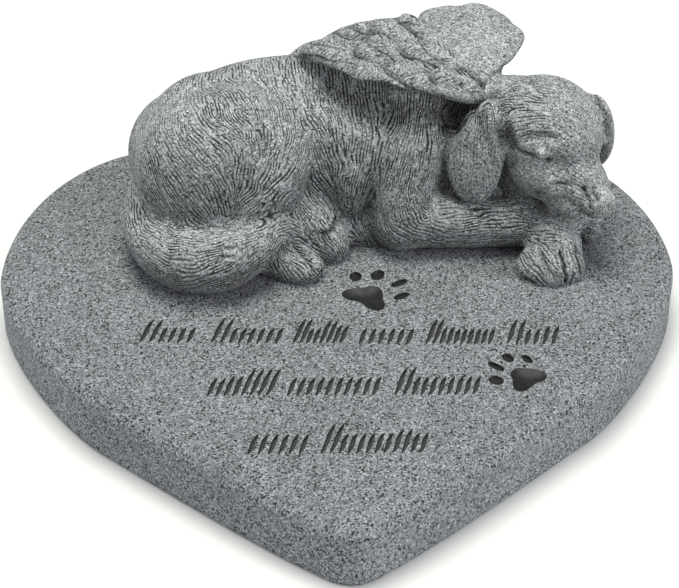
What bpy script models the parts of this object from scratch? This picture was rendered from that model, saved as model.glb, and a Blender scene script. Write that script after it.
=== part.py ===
"""Pet memorial stone: a winged puppy asleep on a heart-shaped slab, cast in one piece.

Metres, +Z up. The origin is under the middle of the slab, and the heart's tip points along -Y.
"""
import math

import bmesh
import bpy
from mathutils import Matrix, Vector

# Slab
HEART_WIDTH = 0.200
HEART_DEPTH = 0.180
SLAB_THICKNESS = 0.018
TOP_ROUNDING = 0.0035
FOOT_ROUNDING = 0.0010

# Figure, from the rump to the far ear, and where its middle line lies behind the slab's middle
FIGURE_LENGTH = 0.150
FIGURE_SETBACK = 0.043
CLAY_GRAIN = 0.0011
BODY_SOFTENING = 14
FINE_SOFTENING = 2
FIGURE_TRIANGLES = 6300

# Carved marks in the slab's top
CARVING_DEPTH = 0.0008
PAW_PRINT_WIDTH = 0.0142
STROKE_WIDTH = 0.0020
STROKE_SLANT_DEGREES = 70.0

# The figure's tables are in 150ths of its length, so that one unit is a millimetre as modelled.
# A place is (x, y, h): x along the slab, y from the figure's middle line, h above the slab's top.
UNIT = FIGURE_LENGTH / 150.0


def on_slab(place):
    """The world x and y of a place in 200ths of the heart's width and 180ths of its depth."""
    return place[0] * HEART_WIDTH / 200, place[1] * HEART_DEPTH / 180


def in_figure(place):
    """The world position of a place in the figure's own units."""
    x, y, h = place
    return Vector((x * UNIT, FIGURE_SETBACK + y * UNIT, SLAB_THICKNESS + h * UNIT))


def turned(yaw, pitch=0.0, roll=0.0):
    """A rotation from degrees: roll about the long axis, then pitch up, then yaw about Z."""
    return (
        Matrix.Rotation(math.radians(yaw), 4, "Z")
        @ Matrix.Rotation(math.radians(-pitch), 4, "Y")
        @ Matrix.Rotation(math.radians(roll), 4, "X")
    )


# The head has its own frame: forward along the muzzle, left, and up.
HEAD_PLACE = Vector((62.0, 1.5, 34.0))
HEAD_TURN = (-54.0, -16.0, -14.0)


def on_head(forward, left, up):
    """The figure place of a point in the head's frame."""
    return tuple(HEAD_PLACE + turned(*HEAD_TURN) @ Vector((forward, left, up)))


def head_turn(yaw=0.0, pitch=0.0, roll=0.0):
    """The head's turn, with more added."""
    return (HEAD_TURN[0] + yaw, HEAD_TURN[1] + pitch, HEAD_TURN[2] + roll)


# Masses: place, half sizes along their own axes, turn in degrees
BODY_MASSES = {
    "thigh": ((-37, -3, 23), (22.5, 20, 26), (0, 0, 0)),
    "hip": ((-29, 2, 30), (20, 17, 18), (0, 0, 0)),
    "rump": ((-43, 6, 22), (18, 17, 20), (0, 0, 0)),
    "far_hip": ((-34, 30, 19), (17, 10, 15), (0, 0, 0)),
    "near_wing_web": ((9, 20, 45), (23, 9, 8.5), (-13, 0, 0)),
    "far_wing_web": ((40, 23, 44), (14, 10, 9), (40, 0, 0)),
    "belly": ((3.5, 6, 19), (10.5, 16, 17), (0, 0, 0)),
    "hock": ((-14, -11, 9), (9, 9, 9), (0, 0, 0)),
    "skull": (on_head(0, 0, 0), (17, 17.5, 15), head_turn()),
    "muzzle": (on_head(16, 0.5, -6), (13, 9.5, 8), head_turn(0, -4)),
    "jaw": (on_head(12, 0, -12), (12, 7.5, 4.5), head_turn()),
    "near_cheek": (on_head(5, -9, -8), (10, 6, 8), head_turn()),
    "far_cheek": (on_head(5, 9, -8), (10, 6, 8), head_turn()),
    "brow": (on_head(9, 0, 5), (10, 12, 7), head_turn(0, -30)),
}
FINE_MASSES = {
    "nose": (on_head(27.5, 0.5, -4.5), (4.0, 5.2, 4.0), head_turn()),
    "near_lip": (on_head(18.5, -5.2, -8.8), (9, 4.2, 5.2), head_turn(4, -4)),
    "far_lip": (on_head(18.5, 6.0, -8.8), (9, 4.2, 5.2), head_turn(-4, -4)),
    "near_eyelid": (on_head(11, -11, 1.2), (3.6, 4.8, 3.0), head_turn(-40)),
    "far_eyelid": (on_head(11, 11, 1.2), (3.6, 4.8, 3.0), head_turn(40)),
    "near_wing_root": ((42, 8, 44), (8, 7, 5), (-20, 0, 0)),
    "far_wing_root": ((46, 14, 47), (8, 7, 5.5), (30, 0, 0)),
    "near_ear": ((40, -7.5, 30), (9.2, 3.0, 15.5), (-16, 6, -20)),
    "far_ear": ((77.8, 6.5, 30.5), (8, 3.4, 14), (-52, -8, 6)),
    "fore_toe_1": ((57.5, -23.5, 4.5), (7, 3.0, 4.5), (-75, 0, 0)),
    "fore_toe_2": ((62.5, -25.5, 4.5), (7, 3.0, 4.8), (-80, 0, 0)),
    "fore_toe_3": ((67.5, -24.5, 4.5), (7, 3.0, 4.8), (-80, 0, 0)),
    "fore_toe_4": ((71.5, -21.5, 4.5), (6, 2.8, 4.5), (-75, 0, 0)),
    "far_fore_toe_1": ((74.5, -10.0, 5.0), (5, 2.8, 4.5), (-35, 0, 0)),
    "far_fore_toe_2": ((76.0, -5.5, 5.0), (5, 2.8, 4.5), (-20, 0, 0)),
    "near_hind_toe_1": ((-7.5, -20, 4.5), (6.5, 3.2, 4.8), (-45, 0, 0)),
    "near_hind_toe_2": ((-11.5, -23.5, 4.2), (6.5, 3.2, 4.5), (-48, 0, 0)),
    "near_hind_toe_3": ((-16.5, -25, 3.8), (6, 3.0, 4.2), (-50, 0, 0)),
    "far_hind_toe_1": ((-3.5, -12, 9), (6.5, 3.8, 5), (-45, -25, 0)),
    "far_hind_toe_2": ((2.0, -12, 5.5), (6.0, 3.2, 5), (-55, -25, 0)),
}

# Limbs: places along the middle, each with a radius
BODY_LIMBS = {
    "torso": [
        (-43, 15, 19, 19.5), (-32, 17, 20.5, 23), (-18, 17.5, 22.5, 24.5),
        (4, 17, 23, 24), (28, 15, 24, 22), (44, 12, 28, 16),
    ],
    "neck": [(38, 15, 28, 15), (54, 7, 31, 14)],
    "shank": [(-21, -2, 31, 12), (-20, -7, 24, 12.5), (-28, -13, 15, 11), (-38, -16, 9, 9)],
    "tail": [
        (-52, 15, 12, 8), (-58, 1, 9, 6.5), (-56, -13, 8.5, 7.5), (-50, -23, 9, 9),
        (-41, -28, 9, 10), (-31, -26.5, 10, 9.5), (-21, -20, 12, 7), (-14, -14, 14, 3.5),
    ],
    "near_hind_foot": [(-38, -17, 8, 8), (-24, -19, 6, 6.5), (-14, -19, 6, 6)],
    "far_hind_foot": [(-14, -4, 15, 6), (-7, -8, 11, 6), (-1, -10, 6.5, 6)],
    "upper_arm": [(24, 7, 36, 13), (22, -2, 27, 9.5), (20, -7, 15, 9), (19, -9, 8, 8.5)],
    "near_forearm": [(20, -8, 8.5, 8.5), (42, -9, 8, 8), (60, -9, 7, 6.8), (73, -7, 6, 6)],
    "far_forearm": [(60, -8, 6, 6), (63, -15, 6.5, 8), (64.5, -19, 5.5, 8)],
}
FINE_LIMBS = {
    "near_ear_fold": [(45, -3.5, 44, 4), (48, -8, 37, 3.8), (48, -10.5, 28, 3.2)],
}

# A wing is an arched sheet between two guide lines, near and far, from its root to its tips, with
# rows of feathers on it. Each row has guide lines for its tips and its roots.
NEAR_WING = {
    "crown": (12, 4, 50), "rise": 0.26, "sag": 0.008,
    "near_edge": [(42, 3), (27, 3.5), (17, 4.5), (5, 8.5), (-5, 15), (-11, 20)],
    "far_edge": [(46, 16), (38, 24), (30, 29), (22, 31), (12, 30), (0, 25)],
    "rows": [
        {"tips": [(-10.5, 17.5), (-3, 22), (6, 26.5), (20, 29.5)], "roots": [(12, 7), (28, 24)],
         "count": 6, "width": 8.5, "lift": 0.6},
        {"tips": [(0, 11.5), (6, 18), (13, 23), (24, 27)], "roots": [(20, 6), (34, 21)],
         "count": 5, "width": 9.0, "lift": 1.7},
        {"tips": [(12, 7), (19, 14), (28, 20)], "roots": [(31, 4.5), (40, 15)],
         "count": 4, "width": 8.5, "lift": 2.8},
        {"tips": [(23, 4.5), (29, 10), (34, 15)], "roots": [(41, 4), (46, 12)],
         "count": 3, "width": 7.5, "lift": 3.7},
    ],
}
FAR_WING = {
    "crown": (38, 27, 53), "rise": 0.12, "sag": 0.006,
    "near_edge": [(45, 10), (51, 16), (55.5, 21), (56.5, 26)],
    "far_edge": [(34, 20), (22, 30), (24, 37), (32, 39.5), (44, 40.5), (52, 35)],
    "rows": [
        {"tips": [(24, 34.5), (34, 37.5), (44, 38.5), (51, 33), (55, 25.5)], "roots": [(38, 18), (49, 15)],
         "count": 8, "width": 8.5, "lift": 0.6},
        {"tips": [(30, 30), (42, 33), (52, 27)], "roots": [(40, 15), (49, 13)],
         "count": 5, "width": 8.0, "lift": 1.7},
    ],
}
WING_HALF_THICKNESS = 1.6
FEATHER_HALF_THICKNESS = 1.0
FEATHER_BLUNTNESS = 0.6

# Inscription. A row has its baseline's two ends, the height of its strokes, and its words. A word
# has its start and end along x, and the height of each stroke as a share of the row's.
INSCRIPTION = [
    {
        "baseline": ((-58.6, -10.0), (60.6, -15.0)), "height": 0.0072,
        "words": [
            (-58.6, -42.5, (1.5, 1, 1)), (-38.3, -17.6, (1.6, 1, 1, 1)),
            (-14.8, 0.2, (1.6, 1, 1.5, 1.2)), (3.6, 19.7, (1, 1, 1)),
            (22.8, 42.3, (1.6, 1.1, 1, 1, 1)), (45.4, 60.6, (1.6, 1, 1.2)),
        ],
    },
    {
        "baseline": ((-39.0, -34.0), (36.4, -35.8)), "height": 0.0081,
        "words": [
            (-39.0, -20.4, (1, 1.1, 1.5, 1.5)), (-17.1, 8.9, (1, 1, 1, 1, 1)),
            (12.5, 36.4, (1.5, 1, 1, 1, 1)),
        ],
    },
    {
        "baseline": ((-28.0, -58.0), (20.3, -58.9)), "height": 0.0083,
        "words": [(-28.0, -11.6, (1, 1, 1)), (-8.4, 20.3, (1.5, 1, 1, 1, 1.2, 1))],
    },
]

# Paw prints: place of the pad on the slab, turn of the print in degrees, size
PAW_PRINTS = [((7.8, 8.4), -35.0, 1.0), ((50.6, -30.2), 40.0, 0.84)]


def clear_scene():
    for old in list(bpy.data.objects):
        bpy.data.objects.remove(old)


def new_collection(name):
    collection = bpy.data.collections.new(name)
    bpy.context.scene.collection.children.link(collection)
    return collection


def stone_material(name, colour, roughness):
    material = bpy.data.materials.new(name)
    material.use_nodes = True
    shader = material.node_tree.nodes["Principled BSDF"]
    shader.inputs["Base Color"].default_value = (*colour, 1.0)
    shader.inputs["Roughness"].default_value = roughness
    shader.inputs["Metallic"].default_value = 0.0
    return material


def add_object(name, data, collection):
    thing = bpy.data.objects.new(name, data)
    collection.objects.link(thing)
    return thing


def as_mesh(curve_object):
    """Makes a curve object a closed mesh in world space, and removes the curve."""
    graph = bpy.context.evaluated_depsgraph_get()
    mesh = bpy.data.meshes.new_from_object(curve_object.evaluated_get(graph))
    mesh.transform(curve_object.matrix_world)
    bpy.data.objects.remove(curve_object)
    welded = bmesh.new()
    welded.from_mesh(mesh)
    bmesh.ops.remove_doubles(welded, verts=welded.verts, dist=1e-6)
    bmesh.ops.recalc_face_normals(welded, faces=welded.faces)
    welded.to_mesh(mesh)
    welded.free()
    return mesh


def flat_outline(name, points, thickness, collection, spline_type="POLY"):
    """A closed outline filled and extruded up and down by half its thickness."""
    curve = bpy.data.curves.new(name, "CURVE")
    curve.dimensions = "2D"
    curve.fill_mode = "BOTH"
    curve.extrude = thickness / 2
    spline = curve.splines.new(spline_type)
    spline.points.add(len(points) - 1)
    for point, (x, y) in zip(spline.points, points):
        point.co = (x, y, 0.0, 1.0)
    spline.use_cyclic_u = True
    return add_object(name, curve, collection)


# The heart is a bezier outline. Each knot of its right half is a place and two handle offsets,
# all as shares of half the width and half the depth; the left half mirrors it.
HEART_KNOTS = [
    ((0.000, -1.000), (-0.045, 0.000), (0.045, 0.000)),
    ((0.110, -0.940), (-0.035, -0.027), (0.140, 0.108)),
    ((0.680, -0.410), (-0.180, -0.175), (0.110, 0.107)),
    ((1.000, 0.280), (0.000, -0.210), (0.000, 0.360)),
    ((0.500, 1.000), (0.300, 0.000), (-0.210, 0.000)),
    ((0.000, 0.840), (0.060, 0.000), (-0.060, 0.000)),
]


def heart_slab(collection):
    """The slab: a heart outline, extruded, with a soft top edge and a small one at the foot."""
    mirrored = [
        ((-x, y), (-after[0], after[1]), (-before[0], before[1]))
        for (x, y), before, after in reversed(HEART_KNOTS[1:-1])
    ]
    knots = HEART_KNOTS + mirrored
    curve = bpy.data.curves.new("heart", "CURVE")
    curve.dimensions = "2D"
    curve.fill_mode = "BOTH"
    curve.extrude = SLAB_THICKNESS / 2
    curve.resolution_u = 8
    spline = curve.splines.new("BEZIER")
    spline.bezier_points.add(len(knots) - 1)
    half_width, half_depth = HEART_WIDTH / 2, HEART_DEPTH / 2
    for point, (place, before, after) in zip(spline.bezier_points, knots):
        point.handle_left_type = point.handle_right_type = "FREE"
        knot = Vector((place[0] * half_width, place[1] * half_depth, 0.0))
        point.co = knot
        point.handle_left = knot + Vector((before[0] * half_width, before[1] * half_depth, 0.0))
        point.handle_right = knot + Vector((after[0] * half_width, after[1] * half_depth, 0.0))
    spline.use_cyclic_u = True
    outline = add_object("heart", curve, collection)
    outline.location.z = SLAB_THICKNESS / 2
    bpy.context.view_layer.update()
    mesh = as_mesh(outline)
    weight_rim(mesh)
    return mesh


def weight_rim(mesh):
    """Marks the slab's top and foot edges for the Bevel modifier, by their share of its width."""
    weights = mesh.attributes.new("bevel_weight_edge", "FLOAT", "EDGE")
    shape = bmesh.new()
    shape.from_mesh(mesh)
    layer = shape.edges.layers.float["bevel_weight_edge"]
    for edge in shape.edges:
        flat = [abs(face.normal.z) > 0.5 for face in edge.link_faces]
        if len(flat) == 2 and flat[0] != flat[1]:
            on_top = edge.verts[0].co.z > SLAB_THICKNESS / 2
            edge[layer] = 1.0 if on_top else FOOT_ROUNDING / TOP_ROUNDING
    shape.to_mesh(mesh)
    shape.free()
    return weights


def wing_height(wing, x, y):
    """Height of a wing's arched sheet over the slab: it rises away from the front and sags along its length."""
    crown_x, crown_y, crown_h = wing["crown"]
    return crown_h + wing["rise"] * (y - crown_y) - wing["sag"] * (x - crown_x) ** 2


def along(guide, share):
    """The point at a share of the way along a guide line, counted by its pieces."""
    step = share * (len(guide) - 1)
    index = min(int(step), len(guide) - 2)
    start, end = Vector(guide[index]), Vector(guide[index + 1])
    return start.lerp(end, step - index)


def add_mass(clay, place, half_sizes, turn, segments=24):
    """Adds an ellipsoid to the clay."""
    scale = Matrix.Diagonal((*[size * UNIT for size in half_sizes], 1.0))
    matrix = Matrix.Translation(in_figure(place)) @ turn @ scale
    bmesh.ops.create_uvsphere(clay, u_segments=segments, v_segments=segments // 2, radius=1.0, matrix=matrix)


def add_wing_sheet(clay, wing):
    """Adds a wing's sheet: a cushion stretched between its near and far edges."""
    ball = bmesh.ops.create_uvsphere(clay, u_segments=40, v_segments=20, radius=1.0)
    for vertex in ball["verts"]:
        span, side, above = vertex.co.y, vertex.co.x, vertex.co.z
        breadth = max(1e-6, 1.0 - span ** 2) ** 0.5
        root_to_tip = (span + 1.0) / 2
        across = (side / breadth + 1.0) / 2
        near, far = along(wing["near_edge"], root_to_tip), along(wing["far_edge"], root_to_tip)
        place = near.lerp(far, min(1.0, max(0.0, across)))
        height = wing_height(wing, place.x, place.y) + above * WING_HALF_THICKNESS
        vertex.co = in_figure((place.x, place.y, height))


def add_feathers(clay, wing):
    """Adds rows of blunt feathers to a wing, each row lying over the one below."""
    for row in wing["rows"]:
        for index in range(row["count"]):
            share = index / (row["count"] - 1)
            add_feather(clay, wing, along(row["roots"], share), along(row["tips"], share), row)


def add_feather(clay, wing, root, tip, row):
    """Adds a flat blunt-ended feather that follows the wing's sheet, with its tip raised a little."""
    shaft = tip - root
    side = Vector((-shaft.y, shaft.x)).normalized()
    ball = bmesh.ops.create_uvsphere(clay, u_segments=16, v_segments=10, radius=1.0)
    for vertex in ball["verts"]:
        ahead, beside, above = [math.copysign(abs(share) ** FEATHER_BLUNTNESS, share) for share in vertex.co]
        place = (root + tip) / 2 + shaft * ahead / 2 + side * beside * row["width"] / 2
        height = wing_height(wing, place.x, place.y) + row["lift"] + 0.5 * ahead - 0.6 * beside ** 2
        vertex.co = in_figure((place.x, place.y, height + above * FEATHER_HALF_THICKNESS))


def add_limb(clay, name, stations, collection):
    """Adds a tube that follows the stations, with their radii, along a smooth curve."""
    curve = bpy.data.curves.new(name, "CURVE")
    curve.dimensions = "3D"
    curve.bevel_depth = UNIT
    curve.bevel_resolution = 8
    curve.use_fill_caps = True
    spline = curve.splines.new("NURBS")
    ends_twice = [stations[0], *stations, stations[-1]]
    spline.points.add(len(ends_twice) - 1)
    for point, (x, y, h, radius) in zip(spline.points, ends_twice):
        point.co = (*in_figure((x, y, h)), 1.0)
        point.radius = radius
    spline.order_u = 3
    spline.use_endpoint_u = True
    mesh = as_mesh(add_object(name, curve, collection))
    clay.from_mesh(mesh)
    for x, y, h, radius in (stations[0], stations[-1]):
        add_mass(clay, (x, y, h), (radius, radius, radius), Matrix.Identity(4), segments=20)


def modelled_figure(collection):
    """The puppy: a soft body first, then its fine parts, fused as one skin of few triangles."""
    body_clay = bmesh.new()
    for place, half_sizes, turn in BODY_MASSES.values():
        add_mass(body_clay, place, half_sizes, turned(*turn))
    for name, stations in BODY_LIMBS.items():
        add_limb(body_clay, name, stations, collection)
    body = fused(body_clay, BODY_SOFTENING, collection)

    fine_clay = bmesh.new()
    for place, half_sizes, turn in FINE_MASSES.values():
        add_mass(fine_clay, place, half_sizes, turned(*turn))
    for name, stations in FINE_LIMBS.items():
        add_limb(fine_clay, name, stations, collection)
    for wing in (NEAR_WING, FAR_WING):
        add_wing_sheet(fine_clay, wing)
        add_feathers(fine_clay, wing)
    fine_clay.from_mesh(body)
    skin = fused(fine_clay, FINE_SOFTENING, collection)

    figure = add_object("figure", skin, collection)
    thin = figure.modifiers.new("thin", "DECIMATE")
    thin.ratio = min(1.0, FIGURE_TRIANGLES / sum(len(face.vertices) - 2 for face in skin.polygons))
    figure.hide_render = True
    figure.display_type = "WIRE"
    return figure


def fused(clay, softening, collection):
    """One closed mesh around all the shells of the clay, smoothed a number of times."""
    mesh = bpy.data.meshes.new("clay")
    clay.to_mesh(mesh)
    clay.free()
    rough = add_object("clay", mesh, collection)
    fuse = rough.modifiers.new("fuse", "REMESH")
    fuse.mode = "VOXEL"
    fuse.voxel_size = CLAY_GRAIN
    soften = rough.modifiers.new("soften", "SMOOTH")
    soften.factor = 0.5
    soften.iterations = softening
    return outer_skin(rough)


def outer_skin(rough):
    """The largest shell of an object's evaluated mesh, so that no sealed pocket is left inside."""
    graph = bpy.context.evaluated_depsgraph_get()
    mesh = bpy.data.meshes.new_from_object(rough.evaluated_get(graph))
    bpy.data.objects.remove(rough)
    shape = bmesh.new()
    shape.from_mesh(mesh)
    unseen = set(shape.verts)
    shells = []
    while unseen:
        shell, front = set(), {unseen.pop()}
        while front:
            vertex = front.pop()
            shell.add(vertex)
            for edge in vertex.link_edges:
                other = edge.other_vert(vertex)
                if other in unseen:
                    unseen.discard(other)
                    front.add(other)
        shells.append(shell)
    outer = max(shells, key=len)
    spare = [vertex for vertex in shape.verts if vertex not in outer]
    bmesh.ops.delete(shape, geom=spare, context="VERTS")
    shape.to_mesh(mesh)
    shape.free()
    return mesh


def ellipse(centre, half_sizes, turn, count):
    """Points of a turned ellipse, counter-clockwise."""
    points = []
    for step in range(count):
        angle = 2 * math.pi * step / count
        u, v = half_sizes[0] * math.cos(angle), half_sizes[1] * math.sin(angle)
        x = centre[0] + u * math.cos(turn) - v * math.sin(turn)
        y = centre[1] + u * math.sin(turn) + v * math.cos(turn)
        points.append((x, y))
    return points


def add_cutter(name, points, collection):
    """A wire-drawn prism that cuts a recess of the carving's depth into the slab's top."""
    prism = flat_outline(name, points, 2 * CARVING_DEPTH, collection)
    prism.location.z = SLAB_THICKNESS
    bpy.context.view_layer.update()
    cutter = add_object(name, as_mesh(prism), collection)
    cutter.hide_render = True
    cutter.display_type = "WIRE"


def paw_print(index, place, turn_degrees, size, collection):
    """Cutters for a paw print: a three-lobed pad and four toes on an arc in front of it."""
    turn = math.radians(turn_degrees)
    radius = PAW_PRINT_WIDTH / 2 * size
    middle = on_slab(place)

    def placed(u, v):
        x = middle[0] + u * math.cos(turn) - v * math.sin(turn)
        y = middle[1] + u * math.sin(turn) + v * math.cos(turn)
        return x, y

    pad = []
    for step in range(24):
        angle = 2 * math.pi * step / 24
        from_top = angle - math.pi / 2
        reach = radius * (0.78 + 0.20 * math.cos(3 * from_top) - 0.24 * math.cos(2 * from_top))
        pad.append(placed(reach * math.cos(angle), reach * math.sin(angle)))
    add_cutter(f"paw_{index}_pad", pad, collection)
    for toe in range(4):
        fan = math.radians(90 + 34 * (1.5 - toe))
        centre = placed(1.5 * radius * math.cos(fan), 1.5 * radius * math.sin(fan))
        points = ellipse(centre, (0.38 * radius, 0.27 * radius), turn + fan, 12)
        add_cutter(f"paw_{index}_toe_{toe + 1}", points, collection)


def pen_stroke(foot, length):
    """A slanted stroke that starts at its foot, pointed at both ends and widest in the middle."""
    slant = math.radians(STROKE_SLANT_DEGREES)
    along_pen = (math.cos(slant), math.sin(slant))
    points = []
    for share, side in ((0.0, 0), (0.22, 1), (0.72, 1), (1.0, 0), (0.78, -1), (0.28, -1)):
        x = foot[0] + share * length * along_pen[0] + side * STROKE_WIDTH / 2 * along_pen[1]
        y = foot[1] + share * length * along_pen[1] - side * STROKE_WIDTH / 2 * along_pen[0]
        points.append((x, y))
    return points


def inscription_row(index, row, collection):
    """Cutters for one row: a slanted pen stroke for each letter, evenly spaced in each word."""
    (left_x, left_y), (right_x, right_y) = row["baseline"]
    slope = (right_y - left_y) / (right_x - left_x)
    for word_index, (start, end, heights) in enumerate(row["words"]):
        pitch = (end - start) / len(heights)
        for place, height in enumerate(heights):
            x = start + (place + 0.25) * pitch
            foot = on_slab((x, left_y + slope * (x - left_x)))
            name = f"stroke_{index + 1}_{word_index + 1}_{place + 1}"
            length = height * row["height"] / math.sin(math.radians(STROKE_SLANT_DEGREES))
            add_cutter(name, pen_stroke(foot, length), collection)


def build():
    clear_scene()
    parts = new_collection("memorial_stone")
    cutters = new_collection("cutters")
    guides = new_collection("guides")
    figure = modelled_figure(guides)
    for index, (place, turn_degrees, size) in enumerate(PAW_PRINTS):
        paw_print(index + 1, place, turn_degrees, size, cutters)
    for index, row in enumerate(INSCRIPTION):
        inscription_row(index, row, cutters)

    stone = add_object("memorial_stone", heart_slab(guides), parts)
    stone.data.materials.append(stone_material("cast_stone", (0.27, 0.28, 0.29), 0.85))
    edges = stone.modifiers.new("soft_edges", "BEVEL")
    edges.limit_method = "WEIGHT"
    edges.width = TOP_ROUNDING
    edges.segments = 3
    join = stone.modifiers.new("join_figure", "BOOLEAN")
    join.operation = "UNION"
    join.object = figure
    carve = stone.modifiers.new("carve_marks", "BOOLEAN")
    carve.operation = "DIFFERENCE"
    carve.operand_type = "COLLECTION"
    carve.collection = cutters


build()
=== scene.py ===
# %% [markdown]
# # A pet memorial stone: a winged puppy asleep on a heart
# The real object is one casting. Castings like it are made of stone grit in a binder, in a rubber
# mould taken from a clay figure, with fur and feathers drawn into the clay by a pointed tool. This
# lesson goes the same way: clay first, then the tool marks, then the stone.
# The CAD model sets the size of everything, so it is loaded first.
# %% Load the frame
import itertools
import math

import bmesh
import bpy
import numpy as np
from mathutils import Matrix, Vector


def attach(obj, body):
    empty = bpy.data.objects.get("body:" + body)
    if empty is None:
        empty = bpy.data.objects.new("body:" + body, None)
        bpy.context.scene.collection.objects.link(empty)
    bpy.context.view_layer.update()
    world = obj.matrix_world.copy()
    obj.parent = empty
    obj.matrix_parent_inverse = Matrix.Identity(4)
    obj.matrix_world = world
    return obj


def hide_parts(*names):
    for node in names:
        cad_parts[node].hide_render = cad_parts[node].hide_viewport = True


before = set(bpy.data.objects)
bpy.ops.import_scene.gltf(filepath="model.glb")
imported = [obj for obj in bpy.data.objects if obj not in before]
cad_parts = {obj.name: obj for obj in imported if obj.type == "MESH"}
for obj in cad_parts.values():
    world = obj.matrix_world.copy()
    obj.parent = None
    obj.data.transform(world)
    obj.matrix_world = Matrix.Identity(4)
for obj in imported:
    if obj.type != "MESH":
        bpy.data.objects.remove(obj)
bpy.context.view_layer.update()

# %% [markdown]
# ## Sizes that are shared with the CAD model
# The slab is measured in metres. The figure has units of its own, 150 to its length, which makes one
# unit a millimetre here. A place on it is (x, y, h): x along the slab, y away from the front, counted
# from the figure's middle line, and h above the slab's top.
# %% Shared sizes
HEART_WIDTH = 0.200
HEART_DEPTH = 0.180
SLAB_THICKNESS = 0.018
FIGURE_LENGTH = 0.150
FIGURE_SETBACK = 0.043
UNIT = FIGURE_LENGTH / 150
FIGURE_ORIGIN = np.array([0.0, FIGURE_SETBACK, SLAB_THICKNESS])


def turned(yaw, pitch=0.0, roll=0.0):
    """Rotation matrix from degrees: roll about X, then pitch up about Y, then yaw about Z."""
    z, y, x = np.radians((yaw, -pitch, roll))
    about_z = np.array([[np.cos(z), -np.sin(z), 0], [np.sin(z), np.cos(z), 0], [0, 0, 1]])
    about_y = np.array([[np.cos(y), 0, np.sin(y)], [0, 1, 0], [-np.sin(y), 0, np.cos(y)]])
    about_x = np.array([[1, 0, 0], [0, np.cos(x), -np.sin(x)], [0, np.sin(x), np.cos(x)]])
    return about_z @ about_y @ about_x


HEAD_PLACE = np.array([62.0, 1.5, 34.0])
HEAD_TURN = (-54.0, -16.0, -14.0)


def on_head(forward, left, up):
    """Figure place of a point in the head's own frame: head place + head rotation times the point."""
    return tuple(HEAD_PLACE + turned(*HEAD_TURN) @ np.array([forward, left, up]))


def head_turn(yaw=0.0, pitch=0.0, roll=0.0):
    """The head's three angles with a little more of each."""
    return (HEAD_TURN[0] + yaw, HEAD_TURN[1] + pitch, HEAD_TURN[2] + roll)


print("one figure unit is", UNIT * 1000, "mm, and the nose is at", np.round(on_head(27.5, 0.5, -4.5), 1))

# %% [markdown]
# ## Camera, floor and light
# A catalogue photograph like this one is lit by a bright tent: light comes from everywhere, a little
# more from above, so shadows are soft and lie close under things. A world of even light gives the
# tent, and three large lamps give the softness a direction. The camera looks down at the heart from
# in front, through a long lens, so the far side is hardly smaller than the near side.
# %% Camera, floor and light
CAMERA_TARGET = np.array([0.0, 0.0105, 0.018])
CAMERA_DISTANCE = 0.612
CAMERA_AZIMUTH = math.radians(-2.0)
CAMERA_ELEVATION = math.radians(38.0)
CAMERA_LENS = 111.34
CAMERA_SENSOR = 36.0
# Each lamp: place, aim, size, watts, colour
LAMPS = {
    "top_lamp": ((-0.06, 0.22, 1.1), (0, 0.03, 0.03), 0.6, 11.2, (0.98, 1.0, 0.90)),
    "left_lamp": ((-1.1, -0.15, 0.45), (0, 0, 0.02), 0.8, 4.5, (1.0, 1.0, 1.0)),
    "right_lamp": ((0.95, -0.60, 0.45), (0, 0, 0.02), 0.8, 8.6, (1.0, 1.0, 1.0)),
}
TENT_COLOUR = (0.93, 0.96, 1.0, 1.0)
TENT_STRENGTH = 0.26
FLOOR_HALF = 3.0

forward = Vector((
    -math.sin(CAMERA_AZIMUTH) * math.cos(CAMERA_ELEVATION),
    math.cos(CAMERA_AZIMUTH) * math.cos(CAMERA_ELEVATION),
    -math.sin(CAMERA_ELEVATION),
))
camera_data = bpy.data.cameras.new("camera")
camera_data.lens = CAMERA_LENS
camera_data.sensor_width = CAMERA_SENSOR
camera_data.clip_start = 0.01
camera = bpy.data.objects.new("camera", camera_data)
camera.location = Vector(CAMERA_TARGET) - CAMERA_DISTANCE * forward
camera.rotation_euler = forward.to_track_quat("-Z", "Y").to_euler()
bpy.context.scene.collection.objects.link(camera)
bpy.context.scene.camera = camera


def soft_lamp(name, place, aim, size, watts, colour):
    """A square lamp at a place, turned so that its face looks at the aim."""
    lamp = bpy.data.lights.new(name, "AREA")
    lamp.size = size
    lamp.energy = watts
    lamp.color = colour
    holder = bpy.data.objects.new(name, lamp)
    holder.location = place
    holder.rotation_euler = (Vector(aim) - Vector(place)).to_track_quat("-Z", "Y").to_euler()
    bpy.context.scene.collection.objects.link(holder)


for lamp_name, lamp_settings in LAMPS.items():
    soft_lamp(lamp_name, *lamp_settings)

world = bpy.data.worlds.new("light_tent")
world.use_nodes = True
world.node_tree.nodes["Background"].inputs["Color"].default_value = TENT_COLOUR
world.node_tree.nodes["Background"].inputs["Strength"].default_value = TENT_STRENGTH
bpy.context.scene.world = world
bpy.context.scene.view_settings.view_transform = "Standard"

floor_mesh = bpy.data.meshes.new("floor")
floor_corners = [(x * FLOOR_HALF, y * FLOOR_HALF, 0) for x, y in ((-1, -1), (1, -1), (1, 1), (-1, 1))]
floor_mesh.from_pydata(floor_corners, [], [(0, 1, 2, 3)])
floor = bpy.data.objects.new("floor", floor_mesh)
bpy.context.scene.collection.objects.link(floor)
print("camera", CAMERA_DISTANCE, "m from its target, lens", CAMERA_LENS, "mm")

# %% [markdown]
# ## From arrays to meshes and back
# Every surface below is a grid of places, rows by columns, worked out as one array. If each row goes
# once round the shape and the first and last rows shrink to a point, the grid closes into a skin:
# four-cornered faces between the rows, and a fan of triangles at each pole. Skins are kept as pairs
# of arrays, places and faces, so that many of them can be thrown together like lumps of clay.
# %% Arrays and meshes


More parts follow.
